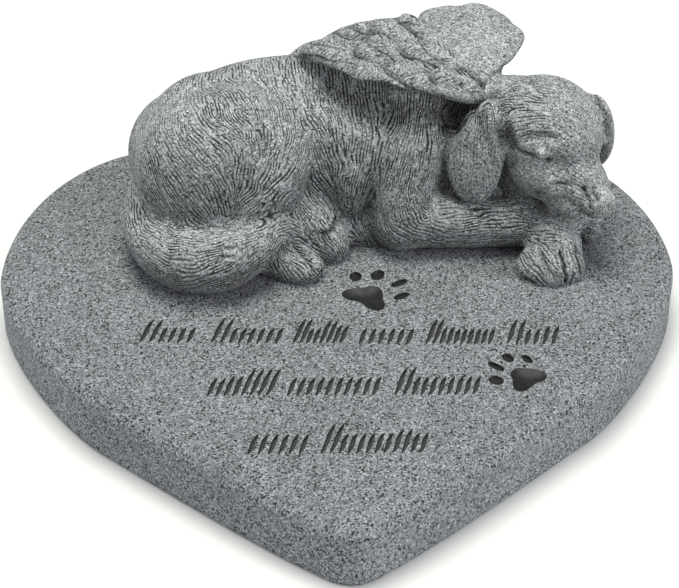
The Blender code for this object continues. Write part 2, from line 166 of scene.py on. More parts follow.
def closed_skin(rings):
    """Places and faces of a closed surface from rings of places (rows, columns, 3). Each end row is
    replaced by its mean, as a pole; faces join ring k to ring k + 1, and the poles to the end rings."""
    inner = rings[1:-1]
    rows, columns = inner.shape[:2]
    places = np.concatenate([inner.reshape(-1, 3), rings[:1].mean(axis=1), rings[-1:].mean(axis=1)])
    index = np.arange(rows * columns).reshape(rows, columns)
    beside = np.roll(index, -1, axis=1)
    quads = np.stack([index[:-1], beside[:-1], beside[1:], index[1:]], axis=-1).reshape(-1, 4)
    south = np.stack([beside[0], index[0], np.full(columns, rows * columns)], axis=-1)
    north = np.stack([index[-1], beside[-1], np.full(columns, rows * columns + 1)], axis=-1)
    return places, [quads, np.concatenate([south, north])]


def gathered(skins):
    """Many skins as one: places are laid end to end, and face numbers are moved up to match."""
    places, quads, triangles, start = [], [], [], 0
    for skin_places, (skin_quads, skin_triangles) in skins:
        places.append(skin_places)
        quads.append(skin_quads + start)
        triangles.append(skin_triangles + start)
        start += len(skin_places)
    return np.concatenate(places), [np.concatenate(quads), np.concatenate(triangles)]


def new_object(name, places, faces):
    """An object whose mesh has these places and these arrays of faces, at the origin and unturned."""
    mesh = bpy.data.meshes.new(name)
    corners = np.concatenate([group.ravel() for group in faces]).astype(np.int32)
    sides = np.concatenate([np.full(len(group), group.shape[1]) for group in faces])
    mesh.vertices.add(len(places))
    mesh.vertices.foreach_set("co", np.asarray(places, dtype=np.float32).ravel())
    mesh.loops.add(len(corners))
    mesh.loops.foreach_set("vertex_index", corners)
    mesh.polygons.add(len(sides))
    mesh.polygons.foreach_set("loop_start", (np.cumsum(sides) - sides).astype(np.int32))
    mesh.update(calc_edges=True)
    made = bpy.data.objects.new(name, mesh)
    bpy.context.scene.collection.objects.link(made)
    return made


def finished_mesh(thing):
    """The object's mesh with its modifiers applied, as a new mesh; the object is removed."""
    graph = bpy.context.evaluated_depsgraph_get()
    mesh = bpy.data.meshes.new_from_object(thing.evaluated_get(graph))
    bpy.data.objects.remove(thing)
    return mesh


def mesh_arrays(mesh):
    """Places, face corners (all faces four-cornered) and unit normals of a mesh, as arrays."""
    places = np.empty(len(mesh.vertices) * 3, dtype=np.float32)
    mesh.vertices.foreach_get("co", places)
    corners = np.empty(len(mesh.loops), dtype=np.int32)
    mesh.loops.foreach_get("vertex_index", corners)
    normals = np.empty(len(mesh.vertices) * 3, dtype=np.float32)
    mesh.vertices.foreach_get("normal", normals)
    places, normals = [values.reshape(-1, 3).astype(float) for values in (places, normals)]
    return places, corners.reshape(-1, 4), normals


def largest_shell(places, quads):
    """Drops loose inner shells. Every place takes the lowest label of its neighbours, and the label of
    that label, until nothing changes; the most common label is the outer shell."""
    label = np.arange(len(places))
    while True:
        lowest = label[quads].min(axis=1)
        spread = label.copy()
        for corner in range(4):
            np.minimum.at(spread, quads[:, corner], lowest)
        spread = spread[spread]
        if (spread == label).all():
            break
        label = spread
    kept = label == np.bincount(label).argmax()
    renumber = np.cumsum(kept) - 1
    return places[kept], renumber[quads[kept[quads[:, 0]]]]


def fused(name, skins, grain, softening):
    """Fuses skins: the space inside any of them is cut into cubes of the grain's size, the cubes get one
    skin, and each place then moves half way to the mean of its neighbours, so many times."""
    clay = new_object(name, *gathered(skins))
    cubes = clay.modifiers.new("cubes", "REMESH")
    cubes.mode = "VOXEL"
    cubes.voxel_size = grain
    smooth = clay.modifiers.new("smooth", "SMOOTH")
    smooth.factor = 0.5
    smooth.iterations = softening
    mesh = finished_mesh(clay)
    places, quads, _ = mesh_arrays(mesh)
    bpy.data.meshes.remove(mesh)
    places, quads = largest_shell(places, quads)
    print(name, "has", len(quads), "faces")
    return places, quads


# %% [markdown]
# ## Masses and limbs
# A modeller builds an animal from lumps: an egg for the skull, one for the thigh, a rolled sausage for
# the tail. An egg is a stretched and turned ball. A sausage is a circle carried along a path, with
# its radius changing on the way. The path is a chain of parabolas: it passes through the middle of
# each straight run between two stations and bends at the stations, so it never has a corner.
# %% Eggs and sausages
ROUND_COLUMNS = 40
BALL_ROWS = 25


def ball(rows, columns):
    """Unit ball as a grid: (cos tilt cos turn, cos tilt sin turn, sin tilt), tilt by row, turn by column."""
    tilt = np.linspace(-np.pi / 2, np.pi / 2, rows)[:, None]
    turn = np.linspace(0, 2 * np.pi, columns, endpoint=False)[None, :]
    level = np.cos(tilt)
    return np.stack([level * np.cos(turn), level * np.sin(turn), np.sin(tilt) + 0 * turn], -1)


def in_world(figure_places):
    """Metres from figure units: origin + units times the unit's length."""
    return FIGURE_ORIGIN + np.asarray(figure_places) * UNIT


def mass(place, half_sizes, turn=(0, 0, 0)):
    """An egg: the unit ball times the half sizes, then turned, then put in its place."""
    stretched = ball(BALL_ROWS, ROUND_COLUMNS) * np.array(half_sizes)
    return closed_skin(in_world(stretched @ turned(*turn).T + np.array(place)))


def smooth_path(stations, steps=12):
    """Chain of parabolas through the middles of the runs: (1-t)^2 a + 2t(1-t) b + t^2 c, where b is a
    station and a and c are the middles of the runs on each side; both ends go straight to the end."""
    stations = np.asarray(stations, dtype=float)
    middles = (stations[1:] + stations[:-1]) / 2
    t = np.linspace(0, 1, steps, endpoint=False)[:, None]
    pieces = [stations[0] + (middles[0] - stations[0]) * t]
    for before, station, after in zip(middles[:-1], stations[1:-1], middles[1:]):
        pieces.append((1 - t) ** 2 * before + 2 * t * (1 - t) * station + t ** 2 * after)
    pieces.append(middles[-1] + (stations[-1] - middles[-1]) * np.linspace(0, 1, steps)[:, None])
    return np.concatenate(pieces)


def limb(stations):
    """A sausage: at each point of the path a circle of the path's radius, at right angles to it. The
    circle's first axis is path direction x guide, where the guide is the axis the path follows least."""
    path = smooth_path(stations)
    middle, radius = path[:, :3], path[:, 3]
    heading = np.gradient(middle, axis=0)
    heading /= np.linalg.norm(heading, axis=1, keepdims=True)
    guide = np.eye(3)[np.abs(heading).max(axis=0).argmin()]
    side = np.cross(heading, guide)
    side /= np.linalg.norm(side, axis=1, keepdims=True)
    above = np.cross(side, heading)
    turn = np.linspace(0, 2 * np.pi, ROUND_COLUMNS, endpoint=False)[None, :, None]
    circle = side[:, None] * np.cos(turn) + above[:, None] * np.sin(turn)
    rings = middle[:, None] + radius[:, None, None] * circle
    rings = np.concatenate([rings[:1], rings, rings[-1:]])
    ends = [mass(end[:3], (end[3],) * 3) for end in (path[0], path[-1])]
    return [closed_skin(in_world(rings)), *ends]


# %% The body's masses and limbs
# Each mass: place, half sizes along its own axes, and its turn in degrees where it has one
BODY_MASSES = {
    "thigh": ((-37, -3, 23), (22.5, 20, 26)),
    "hip": ((-29, 2, 30), (20, 17, 18)),
    "rump": ((-43, 6, 22), (18, 17, 20)),
    "croup": ((-36, 15, 24.3), (21, 18, 20.3)),
    "far_hip": ((-34, 30, 19), (17, 10, 15)),
    "near_wing_web": ((9, 20, 45), (23, 9, 8.5), (-13, 0, 0)),
    "near_wing_bed": ((21, 19, 48.3), (16, 7, 5.5), (-15, 0, 0)),
    "far_wing_web": ((40, 23, 44), (14, 10, 9), (40, 0, 0)),
    "wing_saddle": ((30, 22, 49), (11, 7, 5), (-45, 0, 0)),
    "belly": ((3.5, 6, 19), (10.5, 16, 17)),
    "belly_skirt": ((10, -1, 3), (15, 9.5, 9)),
    "hock": ((-14, -11, 9), (9, 9, 9)),
    "skull": (on_head(0, 0, 0), (17, 17.5, 15), head_turn()),
    "muzzle": (on_head(15, 0.2, -5.2), (14.4, 10.0, 8.4), head_turn(0, -4)),
    "jaw": (on_head(12, 0, -12), (12, 7.5, 4.5), head_turn()),
    "near_cheek": (on_head(7.5, -8.6, -6.8), (13, 6.4, 7.8), head_turn()),
    "far_cheek": (on_head(5, 9, -8), (10, 6, 8), head_turn()),
    "brow": (on_head(9, 0, 5), (10, 12, 7), head_turn(0, -30)),
    "throat": (on_head(0, -3, -15), (12, 9, 8), head_turn()),
    "nape": ((53, 8, 38.8), (9, 9, 8.3)),
    "far_ear_root": ((74.5, 7, 35.4), (7, 6, 6)),
    "near_forepaw": ((62.5, -23.8, 1.5), (10.6, 8.2, 7.8)),
    "near_hind_paw": ((-16, -19.5, 2.5), (13, 7, 6), (-35, 0, 0)),
    "far_hind_paw": ((-4.5, -10.5, 3.5), (9.5, 7, 8), (-45, 0, 0)),
    "near_wing_root": ((42, 8, 43), (9, 7, 5), (-20, 0, 0)),
    "far_wing_root": ((42, 9, 45.5), (7.5, 8, 6.3), (20, 0, 0)),
}
# Each limb: places along its middle, each with a radius
BODY_LIMBS = {
    "torso": [
        (-43, 15, 19, 19.5), (-32, 17, 20.5, 23), (-18, 17.5, 22.5, 24.5),
        (4, 17, 23, 24), (28, 15, 24, 22), (44, 12, 28, 16),
    ],
    "neck": [(38, 15, 28, 15), (54, 7, 31, 14)],
    "shank": [(-21, -2, 31, 12), (-20, -7, 24, 12.5), (-28, -13, 15, 11), (-38, -16, 9, 9)],
    "tail": [
        (-52, 15, 12, 8), (-58, 1, 9, 6.5), (-56, -13, 8.5, 7.5), (-50, -23, 9, 9),
        (-41, -28, 9, 10), (-31, -26.5, 10, 9.5), (-21, -20, 12, 7), (-14, -14, 14, 3.5),
    ],
    "near_hind_foot": [(-38, -17, 8, 8), (-24, -19, 5.5, 6.5), (-17, -19, 4.5, 5.5)],
    "far_hind_foot": [(-14, -4, 15, 6), (-8, -8, 11, 6), (-4, -10, 6, 6)],
    "upper_arm": [(24, 7, 36, 13), (22, -2, 27, 9.5), (20, -7, 15, 9), (19, -9, 8, 8.5)],
    "near_forearm": [(20, -8, 8.5, 8.5), (42, -9, 8, 8), (60, -9, 7, 6.8), (73, -7, 6, 6)],
    "far_forearm": [(60, -8, 6, 6), (63, -15, 6.5, 8), (64.5, -19, 5.5, 8)],
}
BODY_GRAIN = 0.9 * UNIT
BODY_SOFTENING = 21

body_skins = [mass(*egg) for egg in BODY_MASSES.values()]
for stations in BODY_LIMBS.values():
    body_skins.extend(limb(stations))
body = fused("body_clay", body_skins, BODY_GRAIN, BODY_SOFTENING)

# %% [markdown]
# ## Fine parts, and one skin over all of it
# The ears, eyelids, lips, nose and toes are small and must stay crisp, so they go on after the soft
# body has been smoothed. Then everything gets one skin of very small faces, fine enough for fur.
# The bottom is sliced off just inside the slab, because nobody sees it there.
# %% Fine parts
FINE_MASSES = {
    "nose": (on_head(27.6, 0.2, -5.4), (4.5, 5.8, 4.6), head_turn()),
    "near_lip": (on_head(16.2, -5.6, -9.2), (10.8, 4.5, 5.2), head_turn(4, -6)),
    "far_lip": (on_head(18.5, 6.0, -8.8), (9, 4.2, 5.2), head_turn(-4, -4)),
    "near_eyelid": (on_head(9.0, -12.2, 2.4), (4.0, 2.2, 1.9), head_turn(-32)),
    "far_eyelid": (on_head(9.0, 12.2, 2.2), (4.2, 2.9, 2.5), head_turn(32)),
    "near_ear": ((40.2, -7.5, 30.8), (8.7, 3.0, 14.8), (-16, 6, -20)),
    "near_ear_top": ((38.8, -5.4, 36.3), (5.2, 2.8, 7.2), (-16, 6, -20)),
    "far_ear": ((77.6, 6.5, 29.4), (7.6, 3.2, 13.6), (-52, -8, 6)),
    "far_fore_toe_1": ((74.5, -10.0, 5.0), (5, 3.2, 4.5), (-35, 0, 0)),
    "far_fore_toe_2": ((76.0, -5.5, 5.0), (5, 3.2, 4.5), (-20, 0, 0)),
    "near_hind_toe_1": ((-9.5, -20.5, 3.0), (6.5, 3.2, 4.2), (-38, 0, 0)),
    "near_hind_toe_2": ((-13.0, -24.0, 2.6), (6.5, 3.2, 3.8), (-40, 0, 0)),
    "far_hind_toe": ((-6.0, -12.0, 9.5), (5.8, 3.6, 4.6), (-38, -20, 0)),
}
FINE_LIMBS = {
    "near_ear_fold": [
        (44, -2.5, 42, 4.4), (46.4, -6.5, 38.5, 3.8), (46.7, -9.4, 31, 2.6), (45.4, -10.4, 24, 2.0),
    ],
}
SKIN_GRAIN = 0.345 * UNIT
SKIN_SOFTENING = 8

fine_skins = [mass(*egg) for egg in FINE_MASSES.values()]
for stations in FINE_LIMBS.values():
    fine_skins.extend(limb(stations))
no_triangles = np.empty((0, 3), dtype=int)
skin_places, skin_quads = fused(
    "skin_clay", [(body[0], [body[1], no_triangles]), *fine_skins], SKIN_GRAIN, SKIN_SOFTENING
)
skin = new_object("puppy_skin", skin_places, [skin_quads])

# %% [markdown]
# ## Noise from a table of random numbers
# Fur, dents and wobbles all start from noise. A cube of random numbers is filled once, from a fixed
# seed. A place is looked up in it by reading the eight numbers around it and blending them.
# %% Lattice noise
NOISE_TABLE = np.random.default_rng(11).uniform(-1, 1, (64, 64, 64))


def lattice_noise(places, cell):
    """Value noise: the eight table numbers around place / cell, each times its share, where a share is
    the product over x, y and z of s or 1 - s, with s = f^2 (3 - 2f) and f the place inside the cell."""
    scaled = places / cell
    low = np.floor(scaled).astype(int)
    inside = scaled - low
    blend = inside * inside * (3 - 2 * inside)
    total = np.zeros(len(places))
    for corner in itertools.product((0, 1), repeat=3):
        x, y, z = ((low + corner) & 63).T
        total += NOISE_TABLE[x, y, z] * np.prod(np.where(corner, blend, 1 - blend), axis=1)
    return total


print("the noise comes from", NOISE_TABLE.size, "random numbers")

# %% [markdown]
# ## Which way the fur lies
# The clay tool was drawn along the coat: down the back, back and down over the thigh, along the tail,
# round the shoulder. A comb stroke is a place and a direction. Between the strokes the direction is a
# blend in which near strokes count most, laid flat against the skin.
# %% Comb strokes
# Each stroke: place, then direction in tenths
COMB_STROKES = np.array([
    (-55, 8, 37, -1, -10, 0), (-46, 16, 38, -1, -10, 1), (-37, 19, 42, -1, -10, 1), (-28, 20, 45, 0, -10, 1),
    (-19, 22, 46, 0, -10, 1), (-10, 18, 47, 1, -10, -3), (-48, -7, 45, 0, -9, -3), (-36, -6, 48, 2, -10, -2),
    (-25, -1, 47, 4, -9, -2), (-16, 3, 44, 4, -9, -2), (-29, 9, 46, 5, -8, 4),
    (-55, -8, 36, 2, -9, -4), (-53, -16, 30, 4, -5, -8), (-46, -15, 40, 5, -6, -5), (-47, -20, 26, 6, -3, -7),
    (-39, -12, 46, 6, -7, -3), (-39, -19, 37, 7, -5, -6), (-40, -22, 26, 5, -1, -8),
    (-32, -14, 44, 8, -3, -6), (-34, -21, 33, 5, -2, -8), (-26, -9, 44, 7, -3, -6),
    (-25, -14, 39, 2, -5, -9), (-28, -18, 36, -1, -5, -9), (-42, -24, 17, 8, 0, -5),
    (-34, -22, 25, 2, 0, -10),
    (-19, -7, 42, 0, -8, -5), (-16, -11, 37, -3, -7, -6), (-22, -16, 33, -4, -5, -7),
    (-12, -2, 39, 1, -8, -5), (-11, -10, 32, -3, -9, -3), (-17, -17, 28, -7, -5, -5),
    (-25, -20, 25, -8, -4, -4),
    (-29, -24, 17, -9, -2, -4), (-12, -15, 25, -6, -8, -1),
    (-62, -2, 13, 0, -10, 0), (-61, -17, 13, 2, -10, 0), (-55, -23, 16, 6, -8, 1), (-52, -32, 12, 8, -6, -1),
    (-44, -32, 17, 10, -3, 1), (-43, -36, 7, 9, -3, 3), (-36, -36, 13, 9, 2, 3), (-34, -30, 19, 10, 3, 0),
    (-27, -33, 14, 8, 6, 3), (-26, -26, 18, 9, 5, 0), (-20, -27, 14, 6, 8, 3), (-18, -22, 18, 8, 6, -1),
    (-55, -24, 0, 7, -7, 0), (-30, -30, 0, 9, 5, 0),
    (-4, 8, 45, 0, -9, -5), (4, 6, 44, 1, -9, -5), (10, 1, 40, 1, -7, -7), (-5, -1, 38, 5, -6, -6),
    (3, -2, 37, 1, -5, -8), (8, -5, 32, -2, -4, -9), (-2, -6, 29, 4, -2, -9), (4, -9, 24, -3, -3, -9),
    (7, -8, 16, -4, -1, -9), (-3, -7, 21, 6, -2, -8),
    (17, -1, 43, -1, -5, -8), (24, -4, 43, -2, -5, -9), (17, -6, 34, -3, -4, -9), (26, -8, 33, -2, -5, -9),
    (17, -11, 27, -3, -3, -9), (26, -11, 25, -4, -4, -8), (15, -14, 17, 0, -3, -10), (23, -15, 17, 3, -1, -9),
    (18, -17, 9, 8, -1, -6), (27, -16, 9, 9, 0, -3), (33, -14, 14, 10, 1, 0), (41, -16, 12, 10, 1, 2),
    (48, -15, 12, 10, 1, 0), (55, -16, 10, 8, -5, 4), (48, -15, 4, 10, 0, 1), (33, -16, 4, 10, -1, 1),
    (62, -20, 13, 9, -4, 2), (72, -13, 5, 5, 6, -6), (79, -9, 0, 7, -7, 0),
    (56, -27, 6, 4, -9, -1), (61, -30, 7, 5, -7, -5), (67, -30, 7, 2, -6, -8), (71, -27, 6, 2, -5, -9),
    (-17, -26, 8, 6, -2, -8), (-11, -28, 6, 7, -2, -7), (-5, -24, 6, 7, -2, -6), (-8, -12, 16, 6, -4, -7),
    (-2, -14, 13, 7, -6, -5), (2, -14, 10, 6, -3, -7), (4, -17, 4, 4, 1, -9),
    (43, -6, 46, -1, -5, -9), (37, -5, 40, -4, -3, -9), (34, -7, 32, 0, -4, -9), (40, -9, 34, 0, -4, -9),
    (46, -11, 35, 0, -2, -10), (37, -12, 25, 2, -3, -9), (42, -13, 23, 1, -2, -10), (47, -13, 28, 0, 0, -10),
    (48, 6, 47, -8, -6, 3), (57, 5, 48, -8, 5, -3), (65, 2, 48, -9, 3, 2), (75, 2, 43, -7, 1, 7),
    (53, -3, 47, -8, 5, -4), (62, -6, 47, -10, 0, 1), (70, -7, 44, -8, 1, 6), (75, -9, 38, -3, 5, 8),
    (53, -10, 43, -9, 3, -3), (60, -12, 42, -10, 1, 1), (69, -13, 41, -7, 3, 6),
    (51, -12, 37, -7, 2, -7), (53, -13, 31, -8, 5, -4), (58, -16, 33, -9, 3, 3), (64, -16, 38, -8, 1, 5),
    (69, -16, 32, -7, 2, 7), (75, -15, 28, -6, 4, 7), (56, -15, 25, -8, 4, -4), (63, -17, 26, -8, 6, -2),
    (70, -20, 25, -9, 3, 4), (62, -17, 19, -7, 6, 4), (69, -22, 21, -9, 0, 4), (77, -19, 26, -4, 9, 2),
    (78, 1, 40, 5, -4, -8), (81, 0, 34, -1, -1, -10), (80, 2, 24, -2, 4, -9),
    (-58, 22, 25, -2, 3, -9), (-40, 40, 22, -3, 2, -9), (-20, 41, 26, -3, 2, -9), (0, 41, 26, -2, 2, -10),
    (20, 37, 26, -2, 2, -10), (40, 27, 30, -2, 3, -9), (58, 17, 34, -5, 5, -6), (-30, 36, 40, -1, 8, -5),
    (-10, 37, 42, -1, 8, -5), (72, 10, 30, -5, 5, -6),
], dtype=float)


def coat_direction(places, normals):
    """Unit direction of the fur at each place: the sum of comb directions over distance^4, minus its
    part along the normal, made one long again."""
    strokes = COMB_STROKES[:, 3:] / np.linalg.norm(COMB_STROKES[:, 3:], axis=1, keepdims=True)
    apart = ((places[:, None] - COMB_STROKES[None, :, :3]) ** 2).sum(axis=2)
    blend = (1 / (apart + 4.0) ** 2) @ strokes
    blend -= (blend * normals).sum(axis=1, keepdims=True) * normals
    return blend / np.maximum(np.linalg.norm(blend, axis=1, keepdims=True), 1e-9)


skin_places, skin_quads, skin_normals = mesh_arrays(skin.data)
figure_places = (skin_places - FIGURE_ORIGIN) / UNIT
flow = np.concatenate([
    coat_direction(some_places, some_normals)
    for some_places, some_normals in zip(np.array_split(figure_places, 12), np.array_split(skin_normals, 12))
])
print(len(COMB_STROKES), "comb strokes give", len(flow), "directions")

# %% [markdown]
# ## Fur strokes in clumps
# The tool draws a few strokes side by side, is lifted, and is set down again nearby, so fur comes in
# clumps. Space is divided into boxes of a clump's size, and each box has one middle, moved at random.
# A place belongs to the middle that is nearest when the way along the fur counts less. Inside a clump
# a place has a count, which is its distance across the fur in strokes: each whole number is a groove.
# The mesh carries the broad form of the grooves, and the count is kept for the material, where it
# draws them as finely as the picture can show, as a bump with painted shade in each groove and a
# painted highlight on each crest.
# %% Fur strokes
CLUMP_SIZE = 7.0
CLUMP_STRETCH = 1.7
STROKE_PITCH = 0.95
STROKE_LENGTH = 2.3
STROKE_WAVER = 0.4
WAVER_GRAIN = 3.5
CLUMP_JITTER = 0.45
# How far apart the noise is read for one stroke and for the next
STROKE_STEP = 7.31


def clump_middles(places, directions):
    """Middle of each place's clump: of the 27 boxes around it, the one with the least distance squared,
    less (1 - 1 / stretch squared) times the square of its part along the fur."""
    box = np.floor(places / CLUMP_SIZE).astype(int)
    least = np.full(len(places), np.inf)
    middles = np.zeros_like(places)
    for step in itertools.product((-1, 0, 1), repeat=3):
        x, y, z = ((box + step) & 63).T
        moved = np.stack([NOISE_TABLE[x, y, z], NOISE_TABLE[y, z, x], NOISE_TABLE[z, x, y]], -1)
        middle = (box + step + 0.5 + CLUMP_JITTER * moved) * CLUMP_SIZE
        offset = places - middle
        along = (offset * directions).sum(axis=1)
        distance = (offset ** 2).sum(axis=1) - (1 - 1 / CLUMP_STRETCH ** 2) * along ** 2
        closer = distance < least
        least[closer] = distance[closer]
        middles[closer] = middle[closer]
    return middles


def strokes(places, normals, directions, middles):
    """Count across the clump and how much of the stroke is drawn, from 0 to 1. The count wavers a
    little, and each stroke has breaks of its own, from noise over its number and the way along it."""
    offset = places - middles
    across = (offset * np.cross(normals, directions)).sum(axis=1)
    along = (offset * directions).sum(axis=1)
    count = across / STROKE_PITCH + STROKE_WAVER * lattice_noise(places, WAVER_GRAIN)
    own_noise = STROKE_STEP * np.round(count)
    own = np.stack([own_noise, along / STROKE_LENGTH, middles.sum(axis=1)], -1)
    return count, np.clip(0.8 + 1.4 * lattice_noise(own, 1.0), 0, 1)


count, drawn = strokes(figure_places, skin_normals, flow, clump_middles(figure_places, flow))
face_flow = flow[skin_quads].mean(axis=1)
face_flow /= np.maximum(np.linalg.norm(face_flow, axis=1, keepdims=True), 1e-9)
face_middles = clump_middles(figure_places[skin_quads].mean(axis=1), face_flow)
corners = skin_quads.ravel()
corner_places = figure_places[corners]
corner_count, corner_drawn = strokes(
    corner_places, skin_normals[corners], flow[corners], np.repeat(face_middles, 4, axis=0)
)
print(len(np.unique(face_middles, axis=0)), "clumps of strokes,", STROKE_PITCH, "units apart")

# %% [markdown]
# ## How deep the fur is cut
# The coat is deep on the back, thigh and tail, finer on the face, and the nose and eyelids are bare.
# A patch is a ball of space with a share; where patches overlap they multiply.
# %% Fur depth
FUR_DEPTH = 0.3
SMOOTH_PATCHES = [
    (on_head(28, 0.5, -4.5), 6.0, 0.0),
    (on_head(10, -13, 3), 4.5, 0.25),
    (on_head(10, 13, 3), 4.5, 0.25),
    (on_head(12, 0, -2), 24.0, 0.45),
    ((42, -10, 29), 16.0, 0.5),
    ((43, 11, 47), 12.0, 0.1),
]


def fur_share(places):
    """Share of the full depth at each place: the product over patches of share + (1 - share) s, where s
    goes smoothly from 0 to 1 between 0.7 and 1 of the patch's radius."""
    share = np.ones(len(places))
    for middle, radius, least in SMOOTH_PATCHES:
        away = np.linalg.norm(places - np.array(middle), axis=1) / radius
        rise = np.clip((away - 0.7) / 0.3, 0, 1)
        share *= least + (1 - least) * rise * rise * (3 - 2 * rise)
    return share


def firmness(places, drawn):
    """How firmly the tool was held: the fur share of the place, times a slow unevenness, times what the
    stroke itself has."""
    return drawn * fur_share(places) * (0.9 + 0.4 * lattice_noise(places, 7.0))


fur_height = -FUR_DEPTH * firmness(figure_places, drawn) * (0.5 + 0.5 * np.cos(2 * np.pi * count))
corner_firmness = firmness(corner_places, corner_drawn)
print("the mesh carries fur up to", round(float(-fur_height.min()), 2), "units deep")

# %% [markdown]
# ## Lines cut with the tool
# The closed eyes, the mouth, the nostrils, the hollows of the face and the gaps between the toes are
# single cuts. A cut is a line of places with a width and a depth. Each of its places is first moved to
# the nearest place of the skin, so that the line lies on it, and the skin is pressed in along it.
# %% Tool cuts
# Each cut: places along it, width, depth
CUTS = {
    "near_eye": (
        [(51.0, -11.9, 35.4), (54.0, -13.9, 35.2), (57.5, -15.4, 34.9), (61.2, -16.0, 34.0)], 0.55, 1.3,
    ),
    "near_brow": ([(54.5, -12.6, 40.2), (58.8, -13.4, 41.0), (62.2, -13.6, 40.2)], 1.6, 1.0),
    "temple": ([(48.6, -10.3, 39.6), (49.0, -11.9, 35.5)], 2.6, 2.0),
    "ear_front": ([(49.5, -9.5, 38), (50.3, -11.5, 33), (50.3, -12.0, 28)], 1.8, 0.5),
    "lip_top": (
        [(59.1, -15.5, 24.5), (63.5, -16.7, 27.0), (67.6, -18.2, 27.9), (71.2, -19.6, 26.6)], 0.9, 0.55,
    ),
    "lip_front": ([(71.2, -19.6, 26.4), (72.6, -22.0, 24.5), (73.2, -22.9, 22.6)], 0.7, 0.7),
    "nostril": ([(74.4, -21.6, 25.6), (75.0, -22.6, 24.6)], 0.7, 1.0),
    "mouth_corner": ([(57.6, -15.5, 20.0), (60.0, -17.0, 18.6)], 0.8, 0.8),
    "wing_hollow": ([(-1, 9, 45), (6, 4, 42), (18, 0, 40), (28, 0, 40), (37, 1, 40)], 6.5, 3.5),
    "far_hind_gap": (
        [(-0.7, -9.4, 10.2), (-0.7, -13.2, 10.4), (-2.2, -15.8, 10.2), (-4.3, -16.4, 10.0)], 0.7, 0.9,
    ),
    "near_hind_gap": ([(-12.4, -20.6, 8.2), (-10.1, -23.3, 7.5), (-7.8, -26.4, 5.8)], 0.8, 0.7),
    "fore_gap_1": ([(58.6, -25.6, 8.6), (59.8, -28.3, 7.7), (61.1, -30.6, 5.0)], 0.8, 0.7),
    "fore_gap_2": ([(64.5, -26.0, 8.6), (65.8, -30, 5.5), (66.6, -32.5, 1.0)], 0.5, 1.1),
    "fore_gap_3": ([(68.3, -22.5, 8.0), (70.6, -27.3, 5.2), (72.0, -28.5, 2.0)], 0.5, 0.9),
}
CUT_REACH = 26
# Painted shade: narrow cuts and deep hollows are coloured darker where shade would fall
NARROW_CUT_SHADE = 0.45
DEEP_HOLLOW_SHADE = 0.2
DEEP_FROM = 1.5


def nearest_places(wanted, places):
    """For each wanted place, the one of the places that is nearest to it."""
    wanted = np.array(wanted, dtype=float)
    return np.array([places[((places - one) ** 2).sum(axis=1).argmin()] for one in wanted])


def cut_depth(places):
    """Depth and painted shade at each place. Depth is the sum over cuts of depth times e to minus
    (distance / width) squared. Painted shade makes narrow cuts dark, and deep hollows half dark."""
    depth, darkness = np.zeros(len(places)), np.zeros(len(places))
    for wanted, width, deepest in CUTS.values():
        line = nearest_places(wanted, places)
        nearby = (np.abs(places - line.mean(axis=0)) < CUT_REACH).all(axis=1)
        near_places = places[nearby]
        away = np.full(len(near_places), np.inf)
        for start, end in zip(line[:-1], line[1:]):
            run = end - start
            share = np.clip(((near_places - start) @ run) / (run @ run), 0, 1)
            away = np.minimum(away, np.linalg.norm(near_places - start - share[:, None] * run, axis=1))
        press = np.exp(-(away / width) ** 2)
        depth[nearby] += deepest * press
        # Painted shade for this cut, darker for narrow cuts and for deep ones
        painted_shading = min(1.0, NARROW_CUT_SHADE / width + DEEP_HOLLOW_SHADE * max(deepest - DEEP_FROM, 0))
        darkness[nearby] += painted_shading * press
    return depth, darkness


cuts, cut_darkness = cut_depth(figure_places)
height = fur_height - cuts
figure_places = figure_places + height[:, None] * skin_normals
skin.data.vertices.foreach_set("co", in_world(figure_places).astype(np.float32).ravel())
# The groove attribute carries the painted shade of the cuts to the material
groove = skin.data.attributes.new("groove", "FLOAT", "POINT")
groove.data.foreach_set("value", cut_darkness.astype(np.float32))
stroke_map = skin.data.uv_layers.new(name="strokes")
stroke_map.data.foreach_set("uv", np.stack([corner_count, corner_firmness], -1).astype(np.float32).ravel())
skin.data.update()
print(len(CUTS), "cuts, the deepest", round(float(cuts.max()), 2), "units")

# %% [markdown]
# ## The puppy in five lengths
# One mesh of so many faces is heavy to handle, so the puppy is kept as five lengths, cut by upright
# planes. The cuts are capped. Both sides of a cut use the same places, so no seam shows.
# %% Cut into lengths
FIGURE_CUTS = [-200.0, -30.0, -2.0, 26.0, 51.0, 200.0]
PUPPY_NAMES = ["puppy_rear", "puppy_hip", "puppy_flank", "puppy_shoulder", "puppy_head"]
HIDDEN_DEPTH = 0.4


def sliced(mesh, planes):
    """A copy of the mesh between planes, each a place and a normal that points at what is thrown away,
    with the open ends filled."""
    shape = bmesh.new()
    shape.from_mesh(mesh)
    for place, normal in planes:
        geometry = shape.verts[:] + shape.edges[:] + shape.faces[:]
        found = bmesh.ops.bisect_plane(
            shape, geom=geometry, dist=1e-7, plane_co=place, plane_no=normal, clear_outer=True
        )
        edges = [thing for thing in found["geom_cut"] if isinstance(thing, bmesh.types.BMEdge)]
        bmesh.ops.holes_fill(shape, edges=edges, sides=0)
    cut_mesh = bpy.data.meshes.new("cut")
    shape.to_mesh(cut_mesh)
    shape.free()
    return cut_mesh


under = (in_world((0, 0, -HIDDEN_DEPTH)), (0, 0, -1))
above_slab = sliced(skin.data, [under])
puppy = []
for name, left, right in zip(PUPPY_NAMES, FIGURE_CUTS[:-1], FIGURE_CUTS[1:]):
    left_plane = (in_world((left, 0, 0)), (-1, 0, 0))
    right_plane = (in_world((right, 0, 0)), (1, 0, 0))
    part_mesh = sliced(above_slab, [left_plane, right_plane])
    part_mesh.name = name
    part_mesh.shade_smooth()
    part = bpy.data.objects.new(name, part_mesh)
    bpy.context.scene.collection.objects.link(part)
    puppy.append(part)
    print(name, "has", sum(len(face.vertices) - 2 for face in part_mesh.polygons), "triangles")
bpy.data.objects.remove(skin)
